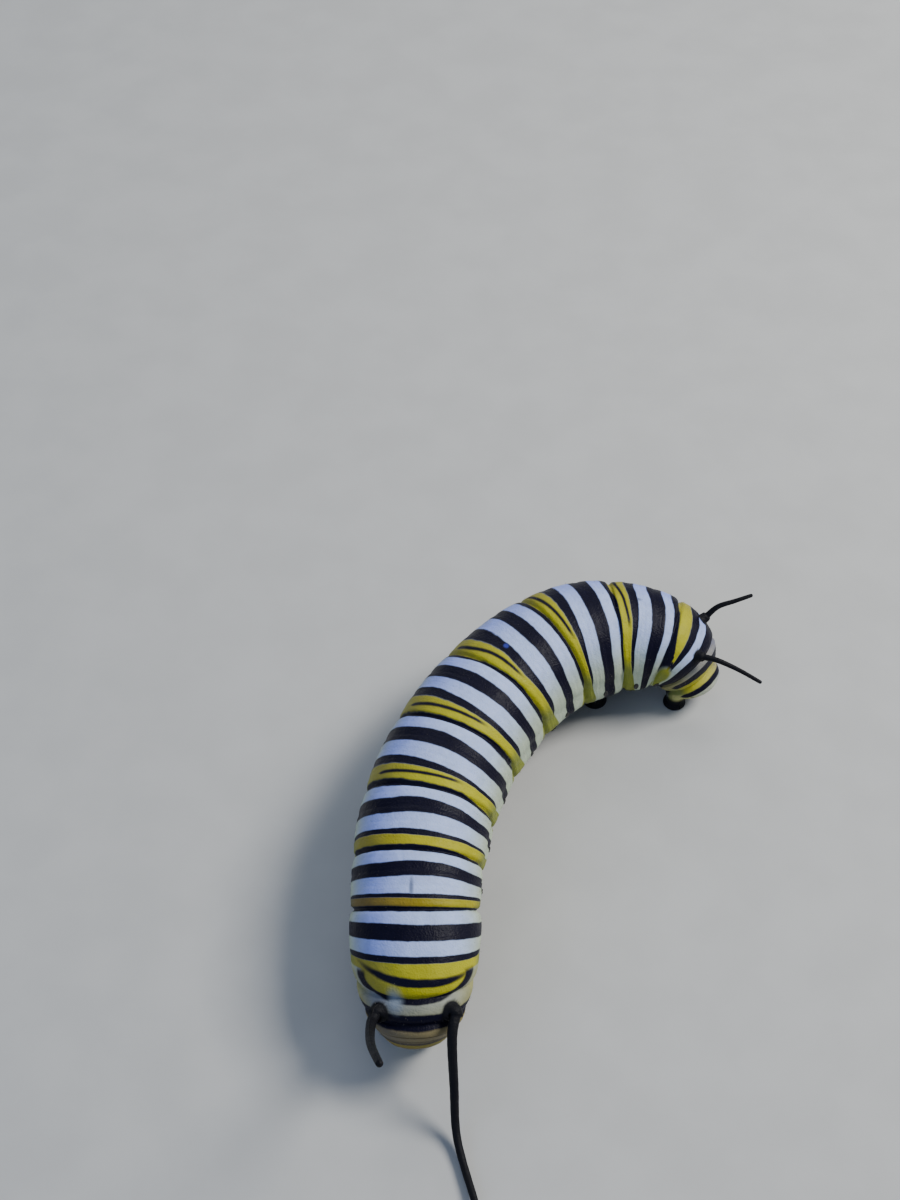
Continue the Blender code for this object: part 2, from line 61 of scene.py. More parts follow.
# The larva's body. Each row has its name, length along the floor, heading, lean of the ring,
# height of its middle, width and height, in millimetres and degrees.
body = {
    "rows": [
        ("neck", 0.0, 91.0, 76.0, 2.4, 3.3, 3.0),
        ("thorax_1", 0.5, 91.0, 68.0, 2.8, 4.3, 4.2),
        ("thorax_2", 2.1, 91.0, 58.0, 3.75, 6.1, 5.7),
        ("thorax_3", 3.0, 90.5, 39.0, 4.5, 7.0, 6.6),
        ("abdomen_1", 3.05, 88.0, 25.5, 4.7, 7.1, 6.9),
        ("abdomen_2", 3.75, 81.5, 17.0, 4.65, 7.4, 7.2),
        ("abdomen_3", 4.65, 71.0, 14.0, 4.6, 7.5, 7.3),
        ("abdomen_4", 4.9, 59.5, 12.0, 4.35, 7.5, 7.3),
        ("abdomen_5", 4.6, 44.5, 8.5, 4.3, 7.35, 7.15),
        ("abdomen_6", 4.1, 22.0, 4.0, 4.2, 7.2, 7.05),
        ("abdomen_7", 3.25, -6.0, 2.5, 3.95, 6.35, 6.25),
        ("abdomen_8", 1.55, -22.0, -32.0, 3.4, 5.35, 4.85),
        ("abdomen_9", 0.4, -35.0, -45.0, 2.2, 4.2, 3.8),
        ("abdomen_10", 1.05, -37.0, -55.0, 1.35, 3.45, 2.8),
        ("tail", 0.0, -39.0, -62.0, 1.0, 3.0, 2.85),
    ],
    "folds": (0.0, 1.22, 1.74, 3.03, 4.0, 5.0, 6.0, 6.95, 8.0, 9.07, 10.0, 11.0, 12.0, 13.0),
    "station": 5.665,
    "planX": -6.882,
    "planY": 5.12,
    "steps": 24,
    "backPower": 2.1,
    "bellyPower": 2.5,
    "bellyDepth": 0.95,
    "gap": 0.28,
}

lastRow = len(body["rows"]) - 2
Ring = namedtuple("Ring", "centre left up forward halfWidth halfHeight")


def smoothValue(values, place):
    # a smooth curve through values that stand half way along each row
    spot = place + 0.5
    first = math.floor(spot)
    part = spot - first
    last = len(values) - 1
    a, b, c, d = (values[max(0, min(last, first + step))] for step in (-1, 0, 1, 2))
    bend = 3 * (b - c) + d - a
    return b + 0.5 * part * ((c - a) + part * ((2 * a - 5 * b + 4 * c - d) + part * bend))


headings = [math.radians(row[2]) for row in body["rows"]]
leans = [math.radians(row[3]) for row in body["rows"]]
middles = [row[4] * mm for row in body["rows"]]
halfWidths = [row[5] * mm / 2 for row in body["rows"]]
halfHeights = [row[6] * mm / 2 for row in body["rows"]]


def makePlan():
    points = [Vector((0.0, 0.0))]
    steps = body["steps"]
    for index, row in enumerate(body["rows"][1:-1]):
        stride = row[1] * mm / steps
        for step in range(steps):
            heading = smoothValue(headings, index + (step + 0.5) / steps)
            points.append(points[-1] + stride * Vector((math.cos(heading), math.sin(heading))))
    return points


plan = makePlan()


def readPlan(place):
    spot = max(0.0, min(place * body["steps"], len(plan) - 1.001))
    index = int(spot)
    return plan[index].lerp(plan[index + 1], spot - index)


planShift = Vector((body["planX"], body["planY"])) * mm - readPlan(body["station"])


def bodyRing(place):
    # place counts rows from the neck at 0 to the end of the tail at 13
    heading = smoothValue(headings, place)
    lean = smoothValue(leans, place)
    flat = readPlan(place) + planShift
    back = Vector((math.cos(heading), math.sin(heading), 0.0))
    return Ring(
        Vector((flat.x, flat.y, smoothValue(middles, place))),
        back.cross(up),
        up * math.cos(lean) - back * math.sin(lean),
        -back * math.cos(lean) - up * math.sin(lean),
        smoothValue(halfWidths, place),
        smoothValue(halfHeights, place),
    )


def rounded(value, power):
    return math.copysign(abs(value) ** (2 / power), value)


def outlinePoint(ring, angle, size=1.0):
    # angle is 0 on the back, 90 degrees on the animal's left and 180 under the belly
    across, along = math.sin(angle), math.cos(angle)
    power = body["backPower"] if along >= 0 else body["bellyPower"]
    depth = ring.halfHeight * (1.0 if along >= 0 else body["bellyDepth"])
    side = ring.left * ring.halfWidth * rounded(across, power)
    return ring.centre + size * (side + ring.up * depth * rounded(along, power))


def bodyNormal(place, angle):
    ring = bodyRing(place)
    step = 0.02
    around = outlinePoint(ring, angle + step) - outlinePoint(ring, angle - step)
    along = outlinePoint(bodyRing(place + step), angle) - outlinePoint(bodyRing(place - step), angle)
    normal = around.cross(along).normalized()
    if normal.dot(outlinePoint(ring, angle) - ring.centre) < 0:
        normal.negate()
    return normal


def levelBack(ring):
    return (up * ring.forward.z - ring.forward).normalized()


def smoothStep(low, high, value):
    part = max(0.0, min(1.0, (value - low) / (high - low)))
    return part * part * (3 - 2 * part)


def bell(away, width):
    return math.exp(-((away / width) ** 2))


def window(value, start, risen, fall, end):
    # 1 between risen and fall, 0 outside start and end
    return smoothStep(start, risen, value) * (1 - smoothStep(fall, end, value))


def roundAxis(side, other, turn):
    return side * math.cos(turn) + other * math.sin(turn)


def onFloor(point):
    return Vector((point.x, point.y, 0.0))


def readTable(table, value):
    # straight lines between the pairs of a table
    for (lowPlace, low), (highPlace, high) in zip(table, table[1:]):
        if value <= highPlace:
            part = max(0.0, (value - lowPlace) / (highPlace - lowPlace))
            return low + part * (high - low)
    return table[-1][1]


# The skin's stripes. For each ring: where yellow starts, yellow ends, the first black ends, the broad
# white ends, the broad black ends and the narrow white ends. A thin black line closes the ring.
# Each ring is read 30 degrees round the right, on the back, and 30 and 60 degrees round the left.
# Places near the head and tail are moved a little for the relief of the folds there.
frontRing = (0.1, 0.42, 0.55, 1.12, 1.45, 2.0)
tailRing = (11.63, 12.2, 12.45, 12.85, 12.95, 13.1)
stripes = {
    "rings": [
        (frontRing, frontRing, frontRing, frontRing),
        ((2.14, 2.27, 2.36, 2.57, 2.82, 3.0), (2.08, 2.27, 2.35, 2.56, 2.80, 3.0),
         (2.09, 2.26, 2.34, 2.56, 2.80, 3.01), (2.10, 2.25, 2.33, 2.55, 2.80, 3.03)),
        ((3.07, 3.21, 3.26, 3.52, 3.75, 3.97), (3.06, 3.20, 3.26, 3.55, 3.80, 3.98),
         (3.06, 3.20, 3.26, 3.54, 3.77, 3.97), (3.06, 3.20, 3.26, 3.48, 3.68, 3.93)),
        ((4.04, 4.20, 4.27, 4.50, 4.74, 4.94), (4.06, 4.20, 4.29, 4.55, 4.80, 4.98),
         (4.04, 4.20, 4.26, 4.54, 4.75, 4.99), (4.00, 4.19, 4.23, 4.48, 4.66, 4.90)),
        ((5.04, 5.25, 5.37, 5.58, 5.78, 5.95), (5.04, 5.24, 5.34, 5.58, 5.80, 5.98),
         (5.04, 5.22, 5.28, 5.53, 5.73, 5.97), (4.99, 5.17, 5.21, 5.47, 5.65, 5.90)),
        ((6.02, 6.26, 6.40, 6.56, 6.74, 6.88), (6.03, 6.24, 6.35, 6.55, 6.75, 6.93),
         (6.03, 6.20, 6.29, 6.53, 6.71, 6.92), (6.02, 6.16, 6.24, 6.49, 6.65, 6.87)),
        ((6.92, 7.18, 7.38, 7.58, 7.75, 7.91), (6.96, 7.20, 7.34, 7.56, 7.75, 7.94),
         (6.97, 7.13, 7.27, 7.54, 7.73, 7.95), (6.95, 7.13, 7.22, 7.49, 7.67, 7.93)),
        ((7.97, 8.22, 8.38, 8.57, 8.79, 8.95), (8.00, 8.22, 8.37, 8.57, 8.83, 9.03),
         (8.00, 8.19, 8.30, 8.56, 8.85, 9.11), (8.00, 8.15, 8.21, 8.50, 8.79, 9.07)),
        ((9.02, 9.27, 9.41, 9.57, 9.76, 9.88), (9.12, 9.35, 9.49, 9.66, 9.84, 9.95),
         (9.16, 9.40, 9.50, 9.70, 9.88, 9.99), (9.12, 9.36, 9.44, 9.68, 9.87, 9.98)),
        ((9.97, 10.20, 10.40, 10.60, 10.98, 11.25), (10.03, 10.28, 10.47, 10.67, 11.0, 11.29),
         (10.10, 10.31, 10.49, 10.70, 11.0, 11.29), (10.27, 10.28, 10.42, 10.64, 11.0, 11.29)),
        (tailRing, tailRing, tailRing, tailRing),
    ],
    # first and last angle of the readings, and the step between them
    "turns": (-30.0, 60.0, 30.0),
    # the value of each edge, as a part of its ring
    "parts": (0.0, 0.18, 0.30, 0.53, 0.75, 0.94),
    "firstRing": 1,
}


def stripeTable(angle):
    # pairs of place and stripe value along one line from head to tail
    first, last, step = stripes["turns"]
    across = (max(first, min(last, math.degrees(angle))) - first) / step
    table = [(-0.6, stripes["firstRing"] - 0.2)]
    for number, columns in enumerate(stripes["rings"]):
        for index, part in enumerate(stripes["parts"]):
            edge = smoothValue([column[index] for column in columns], across - 0.5)
            table.append((edge, stripes["firstRing"] + number + part))
    table.append((13.6, stripes["firstRing"] + len(stripes["rings"]) + 0.1))
    return table


# The skin's rings, folds, creases and lumps. Depths and widths are in millimetres.
skinShape = {
    "sides": 128,
    "ringCounts": (14, 14, 26, 32, 32, 32, 32, 32, 32, 32, 26, 14, 10),
    "crowding": 0.55,
    "tailRoundFrom": 0.3,
    "tailRings": 14,
    "frontCap": ((0.01, 0.12), (0.35, 0.115), (0.65, 0.09), (0.86, 0.04), (0.95, 0.01)),
    "foldDepth": 0.2,
    "foldWidth": 0.15,
    "foldCrowd": (0.28, 0.3),  # most depth and width of a fold, as parts of the room beside it
    "foldLeastWidth": 0.02,
    "lastRoom": 2.0,  # behind the last fold
    "foldSlope": 0.07,
    "foldSpread": 0.55,
    "creases": ((0.24, 0.035), (0.64, 0.04), (0.10, 0.015), (0.42, 0.02), (0.86, 0.02)),
    "creaseWidth": 0.12,
    "creasePlaces": (2.6, 3.1, 9.7, 10.2),
    "flankPlaces": (2.8, 3.4, 10.3, 10.9),
    "flankRidge": (0.09, 106.0, 8.0),  # height, degrees round the body and width in degrees
    "flankGroove": (0.07, 92.0, 5.0),
    "lumps": ((0.03, 0.7), (0.012, 2.6)),  # height, and how many to a millimetre
    "endFade": 1.5,
    "turnBack": 120.0,
    "overSkin": 0.6,  # height from which onSkin looks for the skin
    "seamGap": 0.002,
    "tipRadius": 0.06,
}


def skinRings():
    # place, size and forward shift of each ring, from the neck to the tip of the tail
    rings = [(0.0, size, shift * mm) for size, shift in skinShape["frontCap"]]
    folds = body["folds"]
    for index, count in enumerate(skinShape["ringCounts"]):
        start, end = folds[index], folds[index + 1]
        if index == len(skinShape["ringCounts"]) - 1:
            end = start + (end - start) * skinShape["tailRoundFrom"]
        for step in range(count):
            part = step / count
            part -= skinShape["crowding"] * math.sin(2 * math.pi * part) / (2 * math.pi)
            rings.append((start + part * (end - start), 1.0, 0.0))
    roundFrom = skinShape["tailRoundFrom"]
    count = skinShape["tailRings"]
    for step in range(count + 1):
        turn = math.pi / 2 * step / count
        place = folds[-2] + (folds[-1] - folds[-2]) * (roundFrom + (1 - roundFrom) * math.sin(turn))
        rings.append((place, max(0.01, math.cos(turn)), 0.0))
    return rings


def skinDetail(place, angle, value, reach, foldReaches, point):
    # how far the skin stands out of its plain outline, in metres
    shape = skinShape
    down = abs(math.degrees(angle))
    swell = 0.0
    for index, foldReach in enumerate(foldReaches):
        before = foldReaches[index - 1] if index else 0.0
        after = foldReaches[index + 1] if index + 1 < len(foldReaches) else foldReach + shape["lastRoom"] * mm
        room = min(foldReach - before, after - foldReach) / mm
        away = (reach - foldReach) / mm
        depth, width = (part * room for part in shape["foldCrowd"])
        width = max(shape["foldLeastWidth"], min(shape["foldWidth"], width))
        swell -= min(shape["foldDepth"], depth) * bell(away, width)
        swell -= shape["foldSlope"] * bell(away, shape["foldSpread"])
    ringed = window(place, *shape["creasePlaces"])
    length = body["rows"][min(lastRow, int(place) + 1)][1]
    for middle, depth in shape["creases"]:
        away = abs((value - middle + 0.5) % 1.0 - 0.5) * length
        swell -= ringed * depth * bell(away, shape["creaseWidth"])
    flank = window(place, *shape["flankPlaces"])
    for sign, (height, degrees, width) in ((1, shape["flankRidge"]), (-1, shape["flankGroove"])):
        swell += sign * flank * height * bell(down - degrees, width)
    for height, scale in shape["lumps"]:
        swell += height * noise.noise(point / mm * scale)
    return swell * mm


def makeSkinSheet():
    # a flat grid rolled round the body, with its seam joined and both ends closed
    rings = skinRings()
    sides = skinShape["sides"]
    sheet = bmesh.new()
    bmesh.ops.create_grid(sheet, x_segments=len(rings) - 1, y_segments=sides, size=1.0)
    layers = {name: sheet.verts.layers.float.new(name) for name in ("band", "place", "turn", "down", "limb")}
    frames = [bodyRing(place) for place, _, _ in rings]
    angles = [2 * math.pi * side / sides - math.pi for side in range(sides + 1)]
    points = []
    reaches = []
    for index, ((_, size, shift), ring) in enumerate(zip(rings, frames)):
        row = [outlinePoint(ring, angle, size) + ring.forward * shift for angle in angles]
        points.append(row)
        if index:
            steps = [(spot - before).length for spot, before in zip(row, points[-2])]
            reaches.append([old + step for old, step in zip(reaches[-1], steps)])
        else:
            reaches.append([0.0] * len(angles))
    foldRows = []
    for fold in body["folds"][1:-1]:
        foldRows.append(min(range(len(rings)), key=lambda index: abs(rings[index][0] - fold)))
    foldReaches = [[reaches[row][side] for row in foldRows] for side in range(len(angles))]
    tables = [stripeTable(angle) for angle in angles]
    tables[0] = tables[-1]
    across = len(rings) - 1
    for vertex in sheet.verts:
        index = round((vertex.co.x + 1) / 2 * across)
        side = round((vertex.co.y + 1) / 2 * sides)
        place, size, _ = rings[index]
        angle = angles[side]
        point = points[index][side]
        outward = (point - frames[index].centre).normalized()
        value = readTable(tables[side], place)
        swell = skinDetail(place, angle, value, reaches[index][side], foldReaches[side], point)
        vertex.co = point + outward * swell * min(1.0, size * skinShape["endFade"])
        turn = math.degrees(angle)
        vertex[layers["band"]] = value
        vertex[layers["place"]] = place
        vertex[layers["down"]] = abs(turn)
        # turn runs back to 0 under the belly, so that nothing jumps at the seam
        far = skinShape["turnBack"]
        back = math.copysign((180 - abs(turn)) * far / (180 - far), turn)
        vertex[layers["turn"]] = turn if abs(turn) <= far else back
    seam = [v for v in sheet.verts if v.is_boundary]
    bmesh.ops.remove_doubles(sheet, verts=seam, dist=skinShape["seamGap"] * mm)
    for place in (0, len(rings) - 1):
        centre = frames[place].centre + frames[place].forward * rings[place][2]
        tip = [v for v in sheet.verts if (v.co - centre).length < skinShape["tipRadius"] * mm]
        bmesh.ops.pointmerge(sheet, verts=tip, merge_co=centre)
    bmesh.ops.recalc_face_normals(sheet, faces=sheet.faces)
    return sheet, layers


# Limbs that grow out of the skin, and tubes.
Level = namedtuple("Level", "centre axis side other radius dome value")


def pathLevels(points, radii, firstAxis=None):
    # levels along a path, with no twist between one and the next
    levels = []
    side = None
    count = len(points)
    for index, point in enumerate(points):
        axis = (points[min(index + 1, count - 1)] - points[max(index - 1, 0)]).normalized()
        if index == 0 and firstAxis is not None:
            axis = firstAxis.normalized()
        side = axis.orthogonal() if side is None else side - axis * side.dot(axis)
        side.normalize()
        levels.append(Level(point, axis, side.copy(), axis.cross(side), radii[index], 0.0, 1.0))
    return levels


def roundTip(levels, steps=5, blunt=0.35):
    # adds smaller and smaller levels, so that the end is a dome
    last = levels[-1]
    for step in range(1, steps + 1):
        turn = math.pi / 2 * step / (steps + blunt)
        centre = last.centre + last.axis * last.radius * math.sin(turn)
        levels.append(last._replace(centre=centre, radius=last.radius * math.cos(turn)))
    return levels


def polarLayers(mesh):
    # each vertex's distance from the middle of a limb or tube, and its direction
    values = mesh.verts.layers.float
    names = ("away", "round")
    for name in names:
        if name not in values:
            values.new(name)
    return [values[name] for name in names]


def growLevels(mesh, cap, levels, polar, limbLayer=None):
    # extrudes the cap through each level
    for level in levels:
        grown = bmesh.ops.extrude_face_region(mesh, geom=cap)
        bmesh.ops.delete(mesh, geom=[face for face in cap if face.is_valid], context="FACES")
        for vertex in (item for item in grown["geom"] if isinstance(item, bmesh.types.BMVert)):
            away, turn = vertex[polar[0]], vertex[polar[1]]
            out = roundAxis(level.side, level.other, turn) * level.radius * away
            vertex.co = level.centre + out + level.axis * level.dome * (1 - away * away)
            if limbLayer is not None:
                vertex[limbLayer] = level.value
        cap = [item for item in grown["geom"] if isinstance(item, bmesh.types.BMFace)]
    return cap


def openRegion(mesh, root, axis, side, other, radius, isInside, polar):
    # picks the faces round the root and rounds off the edge of that region
    inside = [face for face in mesh.faces if isInside(face)]
    start = min(inside, key=lambda face: (face.calc_center_median() - root).length)
    chosen = {start}
    front = [start]
    allowed = set(inside)
    while front:
        for edge in front.pop().edges:
            for face in edge.link_faces:
                if face in allowed and face not in chosen:
                    chosen.add(face)
                    front.append(face)
    edge = []
    for vertex in {vertex for face in chosen for vertex in face.verts}:
        step = vertex.co - root
        vertex[polar[0]] = math.hypot(step.dot(side), step.dot(other))
        vertex[polar[1]] = math.atan2(step.dot(other), step.dot(side))
        if any(face not in chosen for face in vertex.link_faces):
            edge.append(vertex)
    rim = sorted((vertex[polar[1]], vertex[polar[0]]) for vertex in edge)
    rim = [(rim[-1][0] - 2 * math.pi, rim[-1][1])] + rim + [(rim[0][0] + 2 * math.pi, rim[0][1])]
    for vertex in {vertex for face in chosen for vertex in face.verts}:
        limit = readTable(rim, vertex[polar[1]])
        vertex[polar[0]] = min(1.0, vertex[polar[0]] / max(limit, 1e-6))
    for vertex in edge:
        vertex[polar[0]] = 1.0
        turn = vertex[polar[1]]
        height = (vertex.co - root).dot(axis)
        vertex.co = root + roundAxis(side, other, turn) * radius + axis * height
    return list(chosen)


prolegs = {
    # place on the body, distance from its middle line and radius, in millimetres
    "rows": ((5.66, 1.35, 0.76), (6.66, 1.35, 0.76), (7.66, 1.35, 0.76), (8.66, 1.35, 0.76),
             (11.0, 1.05, 0.7)),
    "leanOut": 0.2,
    # height, as a part of the leg, and the swell there
    "profile": ((1.0, 0.95), (0.9, 0.88), (0.8, 0.85), (0.72, 0.87), (0.64, 0.84), (0.55, 0.85), (0.46, 0.8),
                (0.38, 0.8), (0.3, 0.89), (0.22, 0.96), (0.14, 0.99), (0.07, 0.97), (0.02, 0.92), (0.0, 0.8)),
    "underside": -0.25,  # the skin that a leg grows from faces down at least this much
    "opening": 0.93,
    "rim": 0.98,
    "blackBelow": (0.62, 0.95),
    "sole": (0.7, 0.05),  # part of the radius that is hollow, and its depth
}


def growProleg(skin, layers, polar, place, side, offset, radius):
    ring = bodyRing(place)
    middle = onFloor(ring.centre) + ring.left * side * offset * mm
    sole = middle + ring.left * side * prolegs["leanOut"] * mm
    back = levelBack(ring)
    reach = radius * mm

    def isInside(face):
        centre = face.calc_center_median()
        flat = onFloor(centre - middle)
        under = face.normal.z < prolegs["underside"] and centre.z < ring.centre.z
        return flat.length < reach * prolegs["opening"] and under

    near = [face.calc_center_median().z for face in skin.faces if isInside(face)]
    roof = sum(near) / len(near)
    root = Vector((middle.x, middle.y, roof))
    cap = openRegion(skin, root, -up, back, ring.left, reach * prolegs["rim"], isInside, polar)
    levels = []
    for height, swell in prolegs["profile"][1:]:
        centre = sole.lerp(middle, height) + up * roof * height
        dark = 1.0 - smoothStep(*prolegs["blackBelow"], height)
        levels.append(Level(centre, -up, back, ring.left, swell * reach, 0.0, dark))
    hollowPart, hollow = prolegs["sole"]
    levels.append(levels[-1]._replace(radius=hollowPart * reach, dome=-hollow * mm))
    growLevels(skin, cap, levels, polar, layers["limb"])


tentacles = {
    # place and degrees of the root, radius at the root and the tip, and the steps of the path from
    # the root to the animal's left, tailward and up, in millimetres
    "rows": [
        (1.42, 38.0, (0.3, 0.19),
         [(-0.2, -1.1, -0.5), (-0.13, -2.7, -2.6), (0.0, -4.7, -4.45), (0.8, -7.9, -4.6)]),
        (1.42, -38.0, (0.3, 0.19),
         [(-0.18, -0.68, 0.31), (-0.16, -2.33, 2.01), (0.03, -4.1, 4.21), (0.45, -5.9, 6.1)]),
        (10.8, 22.0, (0.2, 0.115), [(-0.1, 0.92, 0.05), (-0.25, 2.24, -0.28), (-0.29, 3.67, -0.71)]),
        (10.5, -33.0, (0.2, 0.115), [(-0.46, 0.52, 0.61), (-0.97, 1.4, 0.96), (-1.58, 2.21, 1.16)]),
    ],
    "lift": 1.1,
    "taper": 0.8,
    "rootFlare": (0.5, 1.6),  # swell at the root, and how many points it reaches
    "ripple": (0.02, 2.1),
    "opening": 1.15,
    "facing": 0.2,
    # how far the black of a tentacle runs out over the skin, in parts of its root's radius
    "darkRoot": (1.0, 1.28),
    "points": 46,
}


def curvePoints(knots, count):
    points = []
    for step in range(count):
        spot = (len(knots) - 1) * step / (count - 1)
        points.append(Vector([smoothValue([knot[axis] for knot in knots], spot - 0.5) for axis in range(3)]))
    return points


def growTentacle(skin, layers, polar, place, degrees, radii, path):
    angle = math.radians(degrees)
    ring = bodyRing(place)
    normal = bodyNormal(place, angle)
    root = outlinePoint(ring, angle)
    lifted = root + normal * body["gap"] * tentacles["lift"] * mm
    knots = [lifted]
    for left, tailward, rise in path:
        knots.append(lifted + (ring.left * left + levelBack(ring) * tailward + up * rise) * mm)
    count = tentacles["points"]
    flare, flareReach = tentacles["rootFlare"]
    ripple, ripplePace = tentacles["ripple"]
    sizes = []
    for step in range(count):
        part = (step / (count - 1)) ** tentacles["taper"]
        size = (radii[0] + (radii[1] - radii[0]) * part) * mm * (1 + flare * bell(step, flareReach))
        sizes.append(size * (1 + ripple * math.sin(step * ripplePace)))
    levels = roundTip(pathLevels(curvePoints(knots, count), sizes, firstAxis=normal))
    first = levels[0]
    reach = sizes[0] * tentacles["opening"]

    def isInside(face):
        near = (face.calc_center_median() - root).length < reach
        return near and face.normal.dot(normal) > tentacles["facing"]

    cap = openRegion(skin, root, normal, first.side, first.other, reach, isInside, polar)
    near, far = tentacles["darkRoot"]
    for vertex in skin.verts:
        away = (vertex.co - root).length
        if away < reach * far:
            dark = 1.0 - smoothStep(reach * near, reach * far, away)
            vertex[layers["limb"]] = max(vertex[layers["limb"]], dark)
    growLevels(skin, cap, levels, polar, layers["limb"])


def makeSkin():
    skin, layers = makeSkinSheet()
    print("skin sheet rolled round the body:", len(skin.faces), "faces")
    polar = polarLayers(skin)
    for side in (1, -1):
        for place, offset, radius in prolegs["rows"]:
            growProleg(skin, layers, polar, place, side, offset, radius)
    for row in tentacles["rows"]:
        growTentacle(skin, layers, polar, *row)
    for layer in polar:
        skin.verts.layers.float.remove(layer)
    print("soft legs and tentacles grown from the skin")
    return skin


def finishPiece(name, mesh, material, replaced=()):
    # turns a bmesh into a piece that rides on the body
    bmesh.ops.recalc_face_normals(mesh, faces=mesh.faces)
    if mesh.calc_volume(signed=True) < 0:
        bmesh.ops.reverse_faces(mesh, faces=mesh.faces)
    data = bpy.data.meshes.new(name)
    mesh.to_mesh(data)
    mesh.free()
    data.shade_smooth()
    data.materials.append(material)
    piece = bpy.data.objects.new(name, data)
    bpy.context.scene.collection.objects.link(piece)
    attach(piece, "root")
    if replaced:
        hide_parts(*replaced)
    return piece


def makeNode(tree, kind, feeds, **settings):
    # feeds gives each input a value, or the socket that drives it
    node = tree.nodes.new(kind)
    for name, value in settings.items():
        setattr(node, name, value)
    for name, value in feeds.items():
        if isinstance(value, bpy.types.NodeSocket):
            tree.links.new(value, node.inputs[name])
        else:
            node.inputs[name].default_value = value
    return node


def calc(tree, operation, *values):
    return makeNode(tree, "ShaderNodeMath", dict(enumerate(values)), operation=operation).outputs[0]


def join(tree, operation, first, *others):
    for other in others:
        first = calc(tree, operation, first, other)
    return first


def ramp(tree, value, low, high, start=0.0, end=1.0):
    feeds = {"Value": value, "From Min": low, "From Max": high, "To Min": start, "To Max": end}
    return makeNode(tree, "ShaderNodeMapRange", feeds, interpolation_type="SMOOTHSTEP").outputs["Result"]


def mixColours(tree, factor, first, second, blend="MIX"):
    feeds = {0: factor, 6: first, 7: second}
    return makeNode(tree, "ShaderNodeMix", feeds, data_type="RGBA", blend_type=blend).outputs[2]


def grey(tree, value):
    feeds = {"Red": value, "Green": value, "Blue": value}
    return makeNode(tree, "ShaderNodeCombineColor", feeds).outputs["Color"]


def noiseValue(tree, vector, scale, detail, roughness=0.5):
    feeds = {"Vector": vector, "Scale": scale, "Detail": detail, "Roughness": roughness}
    return makeNode(tree, "ShaderNodeTexNoise", feeds).outputs["Fac"]


def newGroup(name, inputs, outputs):
    # inputs and outputs map a socket's name to its kind: F for a number, V a vector, C a colour
    kinds = {"F": "NodeSocketFloat", "V": "NodeSocketVector", "C": "NodeSocketColor"}
    group = bpy.data.node_groups.new(name, "ShaderNodeTree")
    for socketName, kind in inputs.items():
        group.interface.new_socket(socketName, in_out="INPUT", socket_type=kinds[kind])
    for socketName, kind in outputs.items():
        group.interface.new_socket(socketName, in_out="OUTPUT", socket_type=kinds[kind])
    start = group.nodes.new("NodeGroupInput")
    end = group.nodes.new("NodeGroupOutput")
    return group, start.outputs, end.inputs


def useGroup(tree, group, feeds):
    return makeNode(tree, "ShaderNodeGroup", feeds, node_tree=group).outputs


def stripeGroup():
    # a stripe that repeats once in every ring of the band value
    inputs = {"Band": "F", "Centre": "F", "Half Width": "F", "Edge": "F", "Wobble": "F"}
    group, start, end = newGroup("stripe", inputs, {"Mask": "F"})
    moved = calc(group, "ADD", start["Band"], start["Wobble"])
    moved = calc(group, "SUBTRACT", moved, start["Centre"])
    part = calc(group, "FRACT", calc(group, "ADD", moved, 0.5))
    away = calc(group, "ABSOLUTE", calc(group, "SUBTRACT", part, 0.5))
    low = calc(group, "SUBTRACT", start["Half Width"], start["Edge"])
    high = calc(group, "ADD", start["Half Width"], start["Edge"])
    group.links.new(ramp(group, away, low, high, 1.0, 0.0), end["Mask"])
    return group


def patchGroup():
    # an oval patch on the skin, placed by place along the body and degrees round it
    inputs = {
        "Place": "F", "Turn": "F", "Centre Place": "F", "Centre Turn": "F", "Radius Place": "F",
        "Radius Turn": "F", "Slope": "F", "Bend": "F", "Edge": "F", "Wobble": "F",
    }
    group, start, end = newGroup("patch", inputs, {"Mask": "F", "Away": "F"})
    turned = calc(group, "SUBTRACT", start["Turn"], start["Centre Turn"])
    slope = calc(group, "MULTIPLY", turned, start["Slope"])
    bend = calc(group, "MULTIPLY", calc(group, "MULTIPLY", turned, turned), start["Bend"])
    middle = calc(group, "ADD", start["Centre Place"], calc(group, "ADD", slope, bend))
    along = calc(group, "SUBTRACT", calc(group, "ADD", start["Place"], start["Wobble"]), middle)
    along = calc(group, "DIVIDE", along, start["Radius Place"])
    across = calc(group, "DIVIDE", turned, start["Radius Turn"])
    squares = [calc(group, "MULTIPLY", part, part) for part in (along, across)]
    away = calc(group, "SQRT", calc(group, "ADD", *squares))
    low = calc(group, "SUBTRACT", 1.0, start["Edge"])
    high = calc(group, "ADD", 1.0, start["Edge"])
    group.links.new(ramp(group, away, low, high, 1.0, 0.0), end["Mask"])
    group.links.new(away, end["Away"])
    return group


grainShape = {
    "randomness": 0.9,
    "pebbleEnd": 0.75,
    "pebbleHeight": 0.4,
    # detail and roughness of the noise
    "wrinkle": (4.0, 0.6),
    "mottle": (5.0, 0.65),
    "mottleScale": 0.45,
    "mottleRange": (0.3, 0.7),
}


